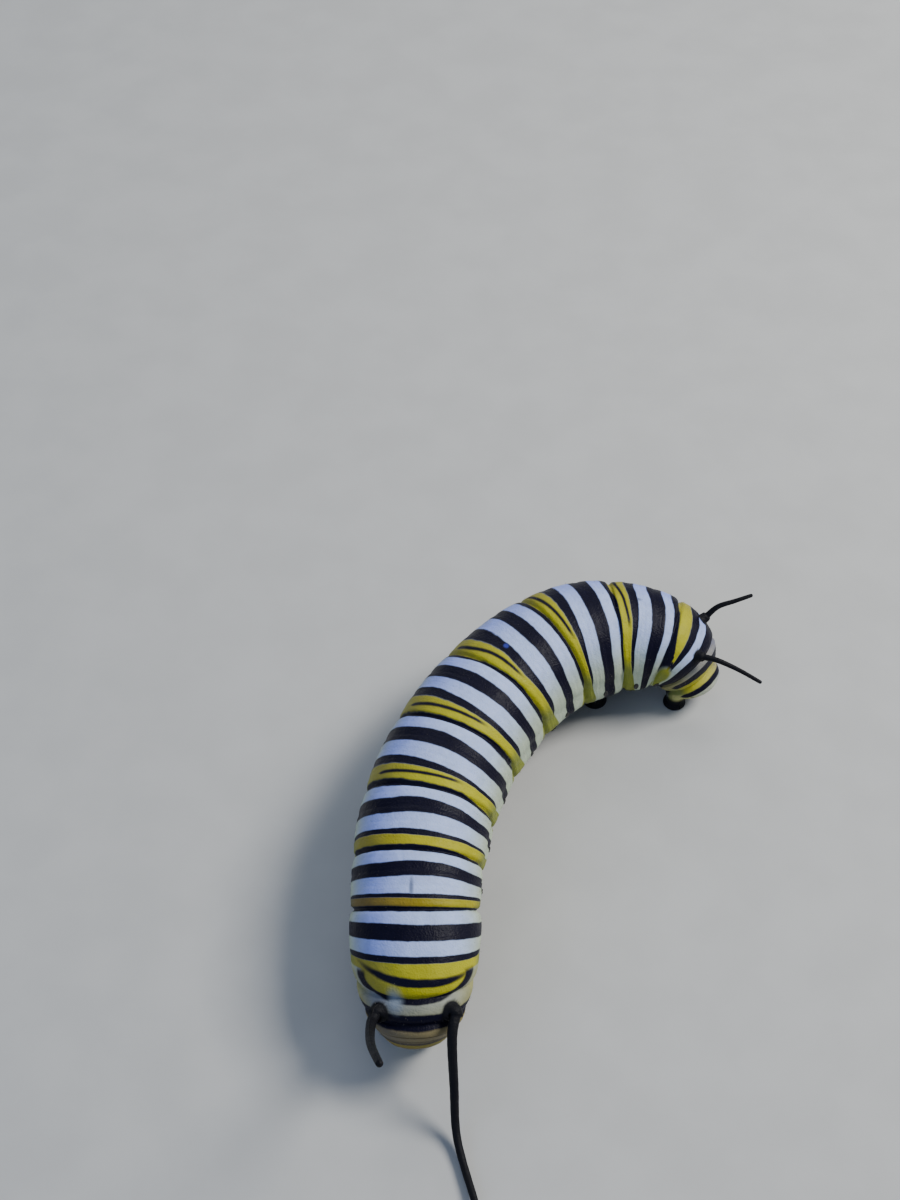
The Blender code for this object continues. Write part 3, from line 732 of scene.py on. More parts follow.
def grainGroup():
    # fine pebbled skin with soft wrinkles, as a height and a mottle for the colour
    inputs = {"Vector": "V", "Pebble Scale": "F", "Wrinkle Scale": "F", "Wrinkles": "F"}
    group, start, end = newGroup("grain", inputs, {"Height": "F", "Mottle": "F"})
    shape = grainShape
    vector = start["Vector"]
    feeds = {"Vector": vector, "Scale": start["Pebble Scale"], "Randomness": shape["randomness"]}
    cells = makeNode(group, "ShaderNodeTexVoronoi", feeds, feature="SMOOTH_F1").outputs["Distance"]
    pebbles = ramp(group, cells, 0.0, shape["pebbleEnd"], 1.0, 0.0)
    wrinkle = noiseValue(group, vector, start["Wrinkle Scale"], *shape["wrinkle"])
    wrinkle = calc(group, "MULTIPLY", wrinkle, start["Wrinkles"])
    height = calc(group, "MULTIPLY_ADD", pebbles, shape["pebbleHeight"], wrinkle)
    group.links.new(height, end["Height"])
    coarse = calc(group, "MULTIPLY", start["Wrinkle Scale"], shape["mottleScale"])
    mottle = noiseValue(group, vector, coarse, *shape["mottle"])
    group.links.new(ramp(group, mottle, *shape["mottleRange"]), end["Mottle"])
    return group


stripe = stripeGroup()
patch = patchGroup()
grain = grainGroup()


def newMaterial(name):
    material = bpy.data.materials.new(name)
    material.use_nodes = True
    tree = material.node_tree
    shader = tree.nodes["Principled BSDF"]
    position = makeNode(tree, "ShaderNodeTexCoord", {}).outputs["Object"]
    return material, tree, shader, position


def attribute(tree, name):
    return makeNode(tree, "ShaderNodeAttribute", {}, attribute_name=name).outputs["Fac"]


def bumpInto(tree, shader, height, distance):
    bump = makeNode(tree, "ShaderNodeBump", {"Height": height, "Distance": distance, "Strength": 1.0})
    tree.links.new(bump.outputs["Normal"], shader.inputs["Normal"])


def colourRamp(tree, value, stops):
    node = makeNode(tree, "ShaderNodeValToRGB", {"Fac": value})
    points = node.color_ramp.elements
    while len(points) < len(stops):
        points.new(0.5)
    for point, (position, colour) in zip(points, stops):
        point.position = position
        point.color = (*colour, 1.0)
    return node.outputs["Color"]


skinLooks = {
    # the whites hold a painted bluish sky-light cast: the right side's white is painted shade, and the flank
    # white is partly the skin's cream and partly painted green reflected light
    "whiteRightPaintedShade": (0.30, 0.39, 0.98, 1.0),
    "whiteTop": (0.52, 0.64, 0.99, 1.0),
    "whiteFlankTintAndReflection": (0.50, 0.58, 0.44, 1.0),
    "yellow": (0.50, 0.47, 0.02, 1.0),
    # the right side's yellow is painted duller and the flank yellow darker and greener, both as painted shade
    "yellowRightPaintedShade": (0.33, 0.30, 0.045, 1.0),
    "yellowFlankPaintedShade": (0.24, 0.27, 0.04, 1.0),
    # brown of the first thorax ring's yellow, partly its own dull tan and partly painted shade
    "yellowFrontTanAndShade": (0.17, 0.125, 0.035, 1.0),
    "black": (0.004, 0.0035, 0.016, 1.0),
    "arc": (0.09, 0.07, 0.035, 1.0),
    "belly": (0.02, 0.02, 0.023, 1.0),
    "bellySpots": (0.18, 0.19, 0.17, 1.0),
    # a painted pale bluish highlight
    "smudge": (0.30, 0.36, 0.44, 1.0),
    # a painted blue reflection in the black
    "blueSpot": (0.06, 0.08, 0.5, 1.0),
    "limb": (0.008, 0.008, 0.011, 1.0),
    # tints along the body, from 0 at the neck to 1 at the end of the tail; the dark tan at the neck end is
    # partly the first ring's own tan and partly painted shade
    "whiteTint": [(0.0, (0.42, 0.28, 0.09)), (0.088, (0.46, 0.31, 0.10)), (0.108, (0.64, 0.52, 0.22)),
                  (0.155, (0.78, 0.68, 0.44)), (0.175, (1.0, 1.0, 1.0)), (0.838, (1.0, 1.0, 1.0)),
                  (0.846, (0.60, 0.47, 0.28)), (0.93, (0.66, 0.56, 0.30)), (0.95, (1.0, 0.86, 0.42))],
    "yellowTint": [(0.0, (0.75, 0.65, 0.7)), (0.15, (1.0, 1.0, 1.0)), (0.215, (1.0, 1.0, 1.0)),
                   (0.232, (0.60, 0.45, 0.9)), (0.25, (0.66, 0.53, 1.0)), (0.30, (0.95, 0.9, 0.9)),
                   (0.37, (1.0, 1.0, 1.0)), (0.87, (1.0, 1.0, 1.0)), (0.90, (1.05, 1.05, 4.0))],
    "wobble": ((1900.0, 2.0, 0.022), (8500.0, 3.0, 0.004)),  # scale, detail and size of the edges' waver
    "edge": 0.012,
    "yellowEnd": 0.183,
    # the middle of each black stripe, as a part of a ring, and half the width of the wide one
    "medium": 0.24,
    "wide": (0.64, 0.112),
    "thin": 0.97,
    "splitSlant": (0.0007, 0.112),
    "splitWobble": 0.4,
    "strength": {"notch": 0.6, "arc": 0.75, "black": 1.0, "smudge": 0.85, "blueSpot": 0.7},
    "grain": {"Pebble Scale": 11000.0, "Wrinkle Scale": 3200.0, "Wrinkles": 0.9},
    "bellyWaver": 260.0,
    "shade": (0.16, 0.9),
    "rough": (0.12, 0.42),
    "limbRough": 0.1,
    "shader": {"Specular IOR Level": 0.14, "Subsurface Weight": 0.1, "Subsurface Radius": (1.0, 0.8, 0.5),
               "Subsurface Scale": 0.0003},
    "fineLines": 14,
    "lineHeight": 0.1,
    "bump": 0.00003,
}

# Where one look gives way to another: from and to, then the values at both ends if not 0 and 1.
skinFades = {
    # degrees round the body, the right side below 0
    "whiteTurn": (-55.0, 10.0),
    "yellowTurn": (-50.0, 5.0),
    "tan": (-10.0, 45.0, 1.0, 0.35),
    "splitHalf": (-58.0, -44.0, -0.03, 0.02),
    "splitLeft": (20.0, 34.0, 1.0, 0.0),
    # degrees down either side
    "whiteDown": (30.0, 82.0),
    "yellowDown": (60.0, 84.0),
    "tailward": (72.0, 106.0, 0.0, 0.15),
    "headward": (80.0, 108.0, 0.0, 0.10),
    "mediumHalf": (70.0, 102.0, 0.061, -0.03),
    "thinHalf": (76.0, 102.0, 0.04, -0.03),
    "belly": (112.0, 124.0),
    # places along the body
    "frontTanAndShade": (0.5, 1.0, 0.65, 0.0),
    "greyFront": (0.55, 0.75, 0.7, 1.0),
    "outlineTo": (2.06, 2.16, 1.0, 0.0),
    "thinFrom": (2.14, 2.2),
    "ovalFront": (2.15, 2.19, 1.0, 0.0),
    "ringedFrom": (2.9, 3.1),
    "ringedTo": (9.9, 10.2, 1.0, 0.0),
    "splitFrom": (4.9, 5.0),
    "splitTo": (9.9, 10.0, 1.0, 0.0),
    # distance from the edge of the oval, and the mottle of the skin
    "outline": (0.08, 0.17, 1.0, 0.0),
    "bellySpots": (0.62, 0.95),
}

# Oval marks: middle and half sizes as place and degrees, slope and bend of the middle line,
# softness of the edge, and whether the edge wavers.
skinMarks = {
    "oval": ((2.05, 0.0), (0.36, 57.0), 0.0, 0.0, 0.05, True),
    "lens": ((2.01, 0.0), (0.066, 54.0), -0.0013, 0.000043, 0.3, True),
    "farArc": ((0.66, 0.0), (0.06, 58.0), 0.0, -0.00004, 0.35, True),
    "nearArc": ((0.95, 0.0), (0.035, 46.0), 0.0, -0.00003, 0.4, True),
    # a painted pale bluish highlight near the front of the body
    "smudge": ((1.7, -19.0), (0.19, 6.6), 0.0, 0.0, 0.75, True),
    "notch": ((3.36, -2.0), (0.15, 1.5), 0.0, 0.0, 0.7, False),
    "lateNotch": ((9.47, -5.0), (0.05, 2.0), 0.0, 0.0, 0.7, False),
    # a small painted blue reflection
    "blueSpot": ((7.3, -1.0), (0.03, 2.2), 0.0, 0.0, 0.5, False),
    # these three are placed by degrees down either side, and the bridge by stripe value
    "tailPatch": ((10.28, 87.0), (0.29, 20.0), 0.0, 0.0, 0.24, True),
    "tailMark": ((12.55, 65.0), (0.1, 4.0), 0.0, 0.0, 0.4, True),
    "bridge": ((10.09, 66.0), (0.14, 11.0), 0.0, 0.0, 0.2, True),
}


def skinMaterial():
    looks = skinLooks
    material, tree, shader, position = newMaterial("larva skin")
    names = ("band", "place", "turn", "down", "limb")
    band, place, turn, down, limb = (attribute(tree, name) for name in names)
    waves = []
    for scale, detail, size in looks["wobble"]:
        wave = calc(tree, "SUBTRACT", noiseValue(tree, position, scale, detail), 0.5)
        waves.append(calc(tree, "MULTIPLY", wave, size))
    wobble = calc(tree, "ADD", *waves)

    def product(*values):
        return join(tree, "MULTIPLY", *values)

    def most(*values):
        return join(tree, "MAXIMUM", *values)

    def fade(name, value):
        return ramp(tree, value, *skinFades[name])

    def stripeAt(centre, half, waver=wobble):
        feeds = {"Band": band, "Centre": centre, "Half Width": half, "Edge": looks["edge"], "Wobble": waver}
        return useGroup(tree, stripe, feeds)["Mask"]

    def mark(name, across=turn, along=place):
        centre, radius, slope, bend, edge, wavers = skinMarks[name]
        return useGroup(tree, patch, {
            "Place": along, "Turn": across, "Centre Place": centre[0], "Centre Turn": centre[1],
            "Radius Place": radius[0], "Radius Turn": radius[1], "Slope": slope, "Bend": bend,
            "Edge": edge, "Wobble": wobble if wavers else 0.0,
        })

    # white and yellow ground. The whites carry a painted bluish sky-light cast, darker and bluer on the right
    # side as painted shade, and the flank white is partly the skin's cream and partly painted green reflected
    # light
    white = mixColours(tree, fade("whiteTurn", turn), looks["whiteRightPaintedShade"], looks["whiteTop"])
    white = mixColours(tree, fade("whiteDown", down), white, looks["whiteFlankTintAndReflection"])
    along = calc(tree, "DIVIDE", place, float(lastRow))
    white = mixColours(tree, 1.0, white, colourRamp(tree, along, looks["whiteTint"]), "MULTIPLY")
    # painted shade: the yellow turns duller on the right side and darker olive down the flanks
    yellow = mixColours(tree, fade("yellowTurn", turn), looks["yellowRightPaintedShade"], looks["yellow"])
    yellow = mixColours(tree, fade("yellowDown", down), yellow, looks["yellowFlankPaintedShade"])
    tinted = mixColours(tree, 1.0, yellow, colourRamp(tree, along, looks["yellowTint"]), "MULTIPLY")
    yellow = mixColours(tree, fade("tan", turn), yellow, tinted)
    # the first thorax ring's yellow is darkened to brown, partly its own dull tan and partly painted shade
    yellow = mixColours(tree, fade("frontTanAndShade", place), yellow, looks["yellowFrontTanAndShade"])
    ringed = product(fade("ringedFrom", place), fade("ringedTo", place))
    headward = product(fade("headward", down), ringed)
    yellowEnd = calc(tree, "ADD", looks["yellowEnd"], product(fade("tailward", down), ringed))
    yellowMiddle = product(calc(tree, "SUBTRACT", yellowEnd, headward), 0.5)
    yellowHalf = product(calc(tree, "ADD", yellowEnd, headward), 0.5)
    # the front part of the third thorax ring's yellow lies in an oval with a black outline, and a
    # yellow patch covers the black below the last tentacles
    oval = mark("oval")
    ovalFront = product(oval["Mask"], fade("ovalFront", place))
    tailPatch = mark("tailPatch", down)["Mask"]
    isYellow = most(stripeAt(yellowMiddle, yellowHalf), ovalFront, tailPatch)
    colour = mixColours(tree, isYellow, white, yellow)

    # black stripes, with a bridge that cuts the last yellow one off from its patch
    medium = stripeAt(looks["medium"], fade("mediumHalf", down))
    thin = product(stripeAt(looks["thin"], fade("thinHalf", down)), fade("thinFrom", place))
    slant = calc(tree, "MULTIPLY_ADD", turn, *looks["splitSlant"])
    split = stripeAt(slant, fade("splitHalf", turn), product(wobble, looks["splitWobble"]))
    split = product(split, fade("splitLeft", turn), fade("splitFrom", place), fade("splitTo", place))
    bridge = mark("bridge", down, band)["Mask"]
    black = most(medium, stripeAt(*looks["wide"]), thin, split, bridge)
    black = product(black, calc(tree, "SUBTRACT", 1.0, tailPatch), fade("greyFront", place))
    # outline of the oval, the black lens inside it and small notches
    fromEdge = calc(tree, "ABSOLUTE", calc(tree, "SUBTRACT", oval["Away"], 1.0))
    outline = product(fade("outline", fromEdge), fade("outlineTo", place))
    notches = most(mark("notch")["Mask"], mark("lateNotch")["Mask"], mark("tailMark", down)["Mask"])
    notches = product(notches, looks["strength"]["notch"])
    # brown arcs across the first thorax ring lie under the black; a painted pale bluish highlight and a small
    # painted blue reflection lie on it
    overlays = {
        "arc": most(mark("farArc")["Mask"], mark("nearArc")["Mask"]),
        "black": most(black, outline, mark("lens")["Mask"], notches),
        "smudge": mark("smudge")["Mask"],
        "blueSpot": mark("blueSpot")["Mask"],
    }
    for name, mask in overlays.items():
        colour = mixColours(tree, product(mask, looks["strength"][name]), colour, looks[name])

    # dark belly with pale specks, and the black of tentacles and soft legs
    surface = useGroup(tree, grain, {"Vector": position, **looks["grain"]})
    belly = mixColours(tree, fade("bellySpots", surface["Mottle"]), looks["belly"], looks["bellySpots"])
    low = calc(tree, "MULTIPLY_ADD", wobble, looks["bellyWaver"], down)
    colour = mixColours(tree, fade("belly", low), colour, belly)
    colour = mixColours(tree, limb, colour, looks["limb"])
    shade = grey(tree, calc(tree, "MULTIPLY_ADD", surface["Mottle"], *looks["shade"]))
    tree.links.new(mixColours(tree, 1.0, colour, shade, "MULTIPLY"), shader.inputs["Base Color"])
    rough = calc(tree, "MULTIPLY_ADD", surface["Mottle"], *looks["rough"])
    rough = calc(tree, "MULTIPLY_ADD", limb, looks["limbRough"], rough)
    tree.links.new(rough, shader.inputs["Roughness"])
    for name, value in looks["shader"].items():
        shader.inputs[name].default_value = value
    # fine wrinkles that run round the rings
    lines = product(calc(tree, "ADD", band, wobble), 2 * math.pi * looks["fineLines"])
    lines = product(calc(tree, "SINE", lines), product(ringed, looks["lineHeight"]))
    bumpInto(tree, shader, calc(tree, "ADD", surface["Height"], lines), looks["bump"])
    return material


skinMesh = makeSkin()
skinTree = BVHTree.FromBMesh(skinMesh)
fleshNodes = [row[0] for row in body["rows"][1:-1]]
for sideName in ("left", "right"):
    fleshNodes += [f"proleg_{number}_{sideName}" for number in (3, 4, 5, 6)]
    fleshNodes += [f"anal_proleg_{sideName}", f"tentacle_rear_{sideName}"]
    fleshNodes += [f"tentacle_front_{sideName}_1", f"tentacle_front_{sideName}_2"]
skin = finishPiece("skin", skinMesh, skinMaterial(), fleshNodes)
print("skin finished with its stripes:", len(skin.data.polygons), "faces")


def onSkin(place, degrees):
    # the point of the finished skin at a place and angle, with its outward direction
    angle = math.radians(degrees)
    outward = bodyNormal(place, angle)
    plain = outlinePoint(bodyRing(place), angle)
    point, normal = skinTree.ray_cast(plain + outward * skinShape["overSkin"] * mm, -outward)[:2]
    if point is None:
        return plain, outward
    return point, normal if normal.dot(outward) > 0 else -normal


def addTube(mesh, levels, sides):
    # a closed tube through its levels, grown from a capped circle
    polar = polarLayers(mesh)
    made = bmesh.ops.create_circle(mesh, cap_ends=True, cap_tris=True, segments=sides, radius=1.0)["verts"]
    first = levels[0]
    for vertex in made:
        turn = math.atan2(vertex.co.y, vertex.co.x)
        vertex[polar[0]], vertex[polar[1]] = vertex.co.length, turn
        flat = roundAxis(first.side, first.other, turn)
        vertex.co = first.centre + flat * first.radius * vertex[polar[0]]
    cap = list({face for vertex in made for face in vertex.link_faces})
    growLevels(mesh, cap, levels[1:], polar)
    rim = [edge for edge in mesh.edges if edge.is_boundary]
    bmesh.ops.holes_fill(mesh, edges=rim, sides=0)


def addCone(mesh, point, direction, length, radius, tip=0.0, sides=5):
    # a small spike that stands on a point
    turned = direction.to_track_quat("Z", "Y").to_matrix().to_4x4()
    place = Matrix.Translation(point + direction * length / 2) @ turned
    bmesh.ops.create_cone(mesh, cap_ends=True, cap_tris=True, segments=sides, radius1=radius, radius2=tip,
                          depth=length, matrix=place)


# The head capsule, with the grooves of its face and six small eyes on each side, in millimetres.
head = {
    "width": 3.5,
    "height": 3.1,
    "depth": 2.5,
    "acrossPower": 2.15,
    "risePower": 2.1,
    "depthPower": 2.25,
    "lean": 112.0,
    "reach": 0.6,
    "drop": 1.35,
    "segments": (144, 96),
    "face": (-0.1, 0.5),  # parts of the depth between which the face begins
    # depth and width of each groove
    "suture": (0.13, 0.24),
    "sutureFade": 0.35,
    "sutureLine": (0.05, 0.05),
    # height of the point of the inverted V on the face, and how fast it widens below
    "apex": 0.35,
    "spread": 0.52,
    "apexFades": (0.1, 0.05),
    "frontLine": (0.06, 0.05),
    "lumps": (0.012, 9.0),
    "innerMark": (0.1, 0.2),  # how far the yellow V stands over the point, and half its width there
    "outerMark": (-0.24, 1.1),  # slope of the outer arc and its distance from the middle
    "mouthDistance": 1.12,
    "mouthLean": (0.6, 0.8),  # how far the mouth points forward and down
    "eyeRadius": 0.15,
    "eyeArc": (0.42, 0.42, 0.42),  # radius, and its middle below and before the head's
    "eyeSquash": 0.8,
    "eyeSink": 0.99,
    "eyeAngles": (-60.0, -12.0, 36.0, 84.0, 132.0, 200.0),
}


def makeHeadFrame():
    # the head hangs under the first thorax ring, with its face turned down and back
    neck = bodyRing(0.0)
    back = Vector((math.cos(headings[0]), math.sin(headings[0]), 0.0))
    lean = math.radians(head["lean"])
    centre = neck.centre + (neck.forward * (body["gap"] / 2 + head["reach"]) - neck.up * head["drop"]) * mm
    return Ring(
        centre, neck.left, up * math.cos(lean) - back * math.sin(lean),
        -back * math.cos(lean) - up * math.sin(lean), head["width"] * mm / 2, head["height"] * mm / 2,
    )


headFrame = makeHeadFrame()
forwardPart, downPart = head["mouthLean"]
mouthOut = (headFrame.forward * forwardPart - headFrame.up * downPart).normalized()
mouthDown = headFrame.left.cross(mouthOut)


def headSpot(side, rise, reach):
    return headFrame.centre + (headFrame.left * side + headFrame.up * rise + headFrame.forward * reach) * mm


def headGroove(name, away):
    depth, width = head[name]
    return depth * bell(away, width)


def makeHead():
    mesh = bmesh.new()
    across, rows = head["segments"]
    bmesh.ops.create_uvsphere(mesh, u_segments=across, v_segments=rows, radius=1.0)
    layers = [mesh.verts.layers.float.new(name) for name in ("faceSide", "faceRise", "faceReach")]
    halfHeight = head["height"] / 2
    apex = head["apex"]
    above, below = head["apexFades"]
    for vertex in mesh.verts:
        spot = vertex.co.copy()
        angle = math.atan2(spot.x, spot.y)
        spread = rounded(min(1.0, math.hypot(spot.x, spot.y)), head["depthPower"])
        side = head["width"] / 2 * rounded(math.sin(angle), head["acrossPower"]) * spread
        rise = halfHeight * rounded(math.cos(angle), head["risePower"]) * spread
        reach = head["depth"] / 2 * spot.z
        face = smoothStep(*head["face"], spot.z)
        groove = headGroove("suture", side) * max(0.0, min(1.0, head["sutureFade"] + rise / halfHeight))
        groove += headGroove("sutureLine", side) * smoothStep(apex - above, apex + above, rise) * face
        fromLine = abs(side) - head["spread"] * (apex - rise)
        under = 1 - smoothStep(apex - below, apex + below, rise)
        groove += headGroove("frontLine", fromLine) * under * face
        groove += head["lumps"][0] * noise.noise(spot * head["lumps"][1])
        shrink = 1.0 - groove / halfHeight
        vertex.co = headSpot(side, rise * shrink, reach * shrink)
        for layer, value in zip(layers, (abs(side), rise, reach)):
            vertex[layer] = value
    neck = bodyRing(0.0)
    cuts = [
        (neck.centre + neck.forward * body["gap"] * 0.5 * mm, -neck.forward),
        (headFrame.centre + mouthOut * head["mouthDistance"] * mm, mouthOut),
    ]
    for point, outward in cuts:
        geometry = mesh.verts[:] + mesh.edges[:] + mesh.faces[:]
        cut = bmesh.ops.bisect_plane(mesh, geom=geometry, plane_co=point, plane_no=outward, clear_outer=True)
        edges = [item for item in cut["geom_cut"] if isinstance(item, bmesh.types.BMEdge)]
        bmesh.ops.holes_fill(mesh, edges=edges, sides=0)
    return mesh


def makeEyes():
    mesh = bmesh.new()
    radius, lowered, forward = head["eyeArc"]
    for side in (1, -1):
        for degrees in head["eyeAngles"]:
            turn = math.radians(degrees)
            rise = radius * math.sin(turn) - lowered
            reach = radius * math.cos(turn) * head["eyeSquash"] + forward
            square = 1.0 - (rise / (head["height"] / 2)) ** 2 - (reach / (head["depth"] / 2)) ** 2
            across = side * head["width"] / 2 * math.sqrt(square) * head["eyeSink"]
            bmesh.ops.create_uvsphere(mesh, u_segments=24, v_segments=16, radius=head["eyeRadius"] * mm,
                                      matrix=Matrix.Translation(headSpot(across, rise, reach)))
    return mesh


# Mouth plates: place across and down, width, height, thickness and the taper of the far end, in
# millimetres, then the depth of the notch in the middle of that end and the depth of its teeth.
mouth = {
    "plates": {
        "labrum": (0.0, -0.52, 1.1, 0.52, 0.48, 0.82, 0.45, 0.0),
        "mandible_left": (0.42, 0.16, 0.55, 0.5, 0.62, 0.8, 0.0, 0.24),
        "mandible_right": (-0.42, 0.16, 0.55, 0.5, 0.62, 0.8, 0.0, 0.24),
        "labium": (0.0, 0.8, 0.95, 0.5, 0.55, 0.65, 0.0, 0.0),
    },
    "power": 4.0,
    "rootDepth": 0.34,
    "teeth": 3.0,
    "notchWidth": 0.25,
    "cutFrom": (0.4, 1.0),
    # length, radius and radius of the tip
    "spinneret": (0.34, 0.1, 0.035),
    "palp": (0.24, 0.075, 0.045),
    "palpSide": 0.27,
    "palpLean": 0.3,
    "palpDepth": 0.06,
    "antennaSide": 0.9,
    "antennaDepth": 0.3,
    "antennaBend": 0.14,
    "antennaLean": (0.5, 0.35),
    "antennaLengths": (0.2, 0.6),
    "bristle": (0.3, 0.015, 0.03),  # length, radius and depth of its root
    "antennaPoints": 36,
    # part of the antenna and radius there
    "antennaRadii": [(0.0, 0.28), (0.22, 0.27), (0.27, 0.2), (0.32, 0.22), (0.55, 0.19), (0.6, 0.14),
                     (0.65, 0.16), (0.85, 0.14), (0.9, 0.09), (1.0, 0.07)],
}
mouthBase = headFrame.centre + mouthOut * (head["mouthDistance"] + body["gap"]) * mm


def makePlate(name):
    sideways, lower, width, height, thickness, taper, notch, teeth = mouth["plates"][name]
    mesh = bmesh.new()
    bmesh.ops.create_uvsphere(mesh, u_segments=56, v_segments=40, radius=1.0)
    for vertex in mesh.verts:
        length = sum(abs(value) ** mouth["power"] for value in vertex.co) ** (1.0 / mouth["power"])
        spot = vertex.co / length
        out = (spot.z + 1.0) / 2
        shrink = 1.0 + (taper - 1.0) * out
        across = sideways + spot.x * width / 2 * shrink
        drop = lower + spot.y * height / 2 * shrink
        cut = notch * bell(spot.x, mouth["notchWidth"])
        cut += teeth * (0.5 + 0.5 * math.cos(2 * math.pi * mouth["teeth"] * (spot.x + 1) / 2))
        cut *= smoothStep(*mouth["cutFrom"], out)
        reach = -mouth["rootDepth"] * (1 - out) + thickness * out * (1.0 - cut)
        vertex.co = mouthBase + (headFrame.left * across + mouthDown * drop + mouthOut * reach) * mm
    if name == "labium":
        centre = mouthBase + (mouthDown * lower + mouthOut * (thickness - mouth["palpDepth"])) * mm
        addCone(mesh, centre, mouthOut, *(size * mm for size in mouth["spinneret"]), sides=20)
        for side in (1, -1):
            root = centre + headFrame.left * side * mouth["palpSide"] * mm
            lean = (mouthOut + headFrame.left * side * mouth["palpLean"]).normalized()
            addCone(mesh, root, lean, *(size * mm for size in mouth["palp"]), sides=18)
    return mesh


def makeAntenna(side):
    root = mouthBase + headFrame.left * side * mouth["antennaSide"] * mm
    out, aside = mouth["antennaLean"]
    lean = (mouthOut * out + headFrame.left * side * aside + headFrame.forward).normalized()
    bend = root + mouthOut * mouth["antennaBend"] * mm
    knots = [root - mouthOut * mouth["antennaDepth"] * mm, root]
    knots += [bend + lean * length * mm for length in mouth["antennaLengths"]]
    count = mouth["antennaPoints"]
    points = curvePoints(knots, count)
    radii = [readTable(mouth["antennaRadii"], step / (count - 1)) * mm for step in range(count)]
    mesh = bmesh.new()
    levels = roundTip(pathLevels(points, radii, firstAxis=mouthOut))
    addTube(mesh, levels, sides=24)
    tip = levels[-1]
    length, radius, depth = (size * mm for size in mouth["bristle"])
    addCone(mesh, tip.centre - tip.axis * depth, tip.axis, length, radius)
    return mesh


# Thorax legs: number, place on the body, angle of the root round it and how far back the foot is.
legs = {
    "rows": ((1, 0.85, 143.0, 0.5), (2, 1.55, 156.0, 0.6), (3, 2.5, 160.0, 0.8)),
    "reachOut": 0.25,
    "sides": 28,
    "points": 56,
    # part of the leg and radius there, with a waist at each joint
    "radii": [(0.0, 0.62), (0.12, 0.6), (0.24, 0.54), (0.27, 0.47), (0.31, 0.5), (0.46, 0.44), (0.5, 0.37),
              (0.54, 0.39), (0.66, 0.31), (0.69, 0.25), (0.73, 0.26), (0.82, 0.14), (1.0, 0.1)],
    "shaftEnd": 0.82,
    "lift": 1.15,
    "rootSwell": 1.12,
    "hip": 0.35,
    "knee": (0.28, 0.3),
    "ankle": 0.42,
    "rootDepth": 1.6,
    "spurs": (18, 5),  # first level with spurs, and the steps between them
    "spurTurns": (0.6, 2.2, 3.8, 5.4),
    "spurSize": (0.16, 0.012),
    "spurRoot": 0.97,
    "spurLean": 0.7,
    "clawRadii": [(0.0, 0.13), (0.5, 0.09), (1.0, 0.02)],
    "clawPoints": 20,
    "clawHook": (0.09, 0.1, 0.03),  # bend forward, reach back and height of the tip
}


def legCurve(row, side):
    # the curve of one leg from the skin to the floor
    _, place, degrees, back = row
    ring = bodyRing(place)
    angle = side * math.radians(degrees)
    normal = bodyNormal(place, angle)
    root = outlinePoint(ring, angle) + normal * body["gap"] * legs["lift"] * mm
    foot = onFloor(root) + (ring.left * side * legs["reachOut"] + levelBack(ring) * back) * mm
    kneeOut, kneeSide = legs["knee"]
    knee = root.lerp(foot, 0.5) + (normal * kneeOut + ring.left * side * kneeSide) * mm
    knots = [root, root + normal * legs["hip"] * mm, knee, foot + up * legs["ankle"] * mm, foot]
    return normal, foot, curvePoints(knots, legs["points"])


def makeLeg(row, side):
    normal, _, points = legCurve(row, side)
    last = int(legs["shaftEnd"] * legs["points"])
    radii = [readTable(legs["radii"], step / legs["points"]) * mm for step in range(last)]
    points = [points[0] - normal * body["gap"] * legs["rootDepth"] * mm] + points[:last]
    mesh = bmesh.new()
    levels = roundTip(pathLevels(points, [radii[0] * legs["rootSwell"]] + radii, firstAxis=normal))
    addTube(mesh, levels, legs["sides"])
    first, stride = legs["spurs"]
    length, radius = legs["spurSize"]
    for index in range(first, last, stride):
        level = levels[index]
        for turn in legs["spurTurns"]:
            flat = roundAxis(level.side, level.other, turn + index)
            root = level.centre + flat * level.radius * legs["spurRoot"]
            lean = (flat + level.axis * legs["spurLean"]).normalized()
            addCone(mesh, root, lean, length * mm, radius * mm)
    return mesh


def makeClaws():
    mesh = bmesh.new()
    bend, reach, lift = (size * mm for size in legs["clawHook"])
    count = legs["clawPoints"]
    radii = [readTable(legs["clawRadii"], step / (count - 1)) * mm for step in range(count)]
    for row in legs["rows"]:
        back = levelBack(bodyRing(row[1]))
        for side in (1, -1):
            _, foot, points = legCurve(row, side)
            start = points[int(legs["shaftEnd"] * legs["points"]) - 2]
            knots = [start, start.lerp(foot, 0.5) - back * bend, foot + back * reach + up * lift]
            addTube(mesh, pathLevels(curvePoints(knots, count), radii), sides=16)
    return mesh


# Breathing holes, fine hairs and the hooks on the soles of the soft legs, in millimetres.
fineParts = {
    "spiraclePlaces": (0.85, 3.5, 4.5, 5.5, 6.5, 7.48, 8.52, 9.52, 10.5),
    "spiracleAngle": 103.0,
    "spiracleSize": (0.16, 0.26, 0.07),
    "spiracleDent": (0.8, 0.22),
    "hairs": 1500,
    "hairPlaces": (0.35, 12.6),
    "hairAngles": (-118.0, 118.0),
    "hairDrift": (-0.35, 0.35),
    "hairLength": (0.07, 0.17),
    "hairRadius": 0.007,
    "hairDepth": 0.01,
    "hairSeed": 7,
    "hooks": 26,
    "hookArc": (-140.0, 140.0),
    "hookRoot": (0.8, 0.17),  # part of the sole's radius, and height over the floor
    "hookSize": (0.2, 0.022),
    "hookLean": 0.7,
}


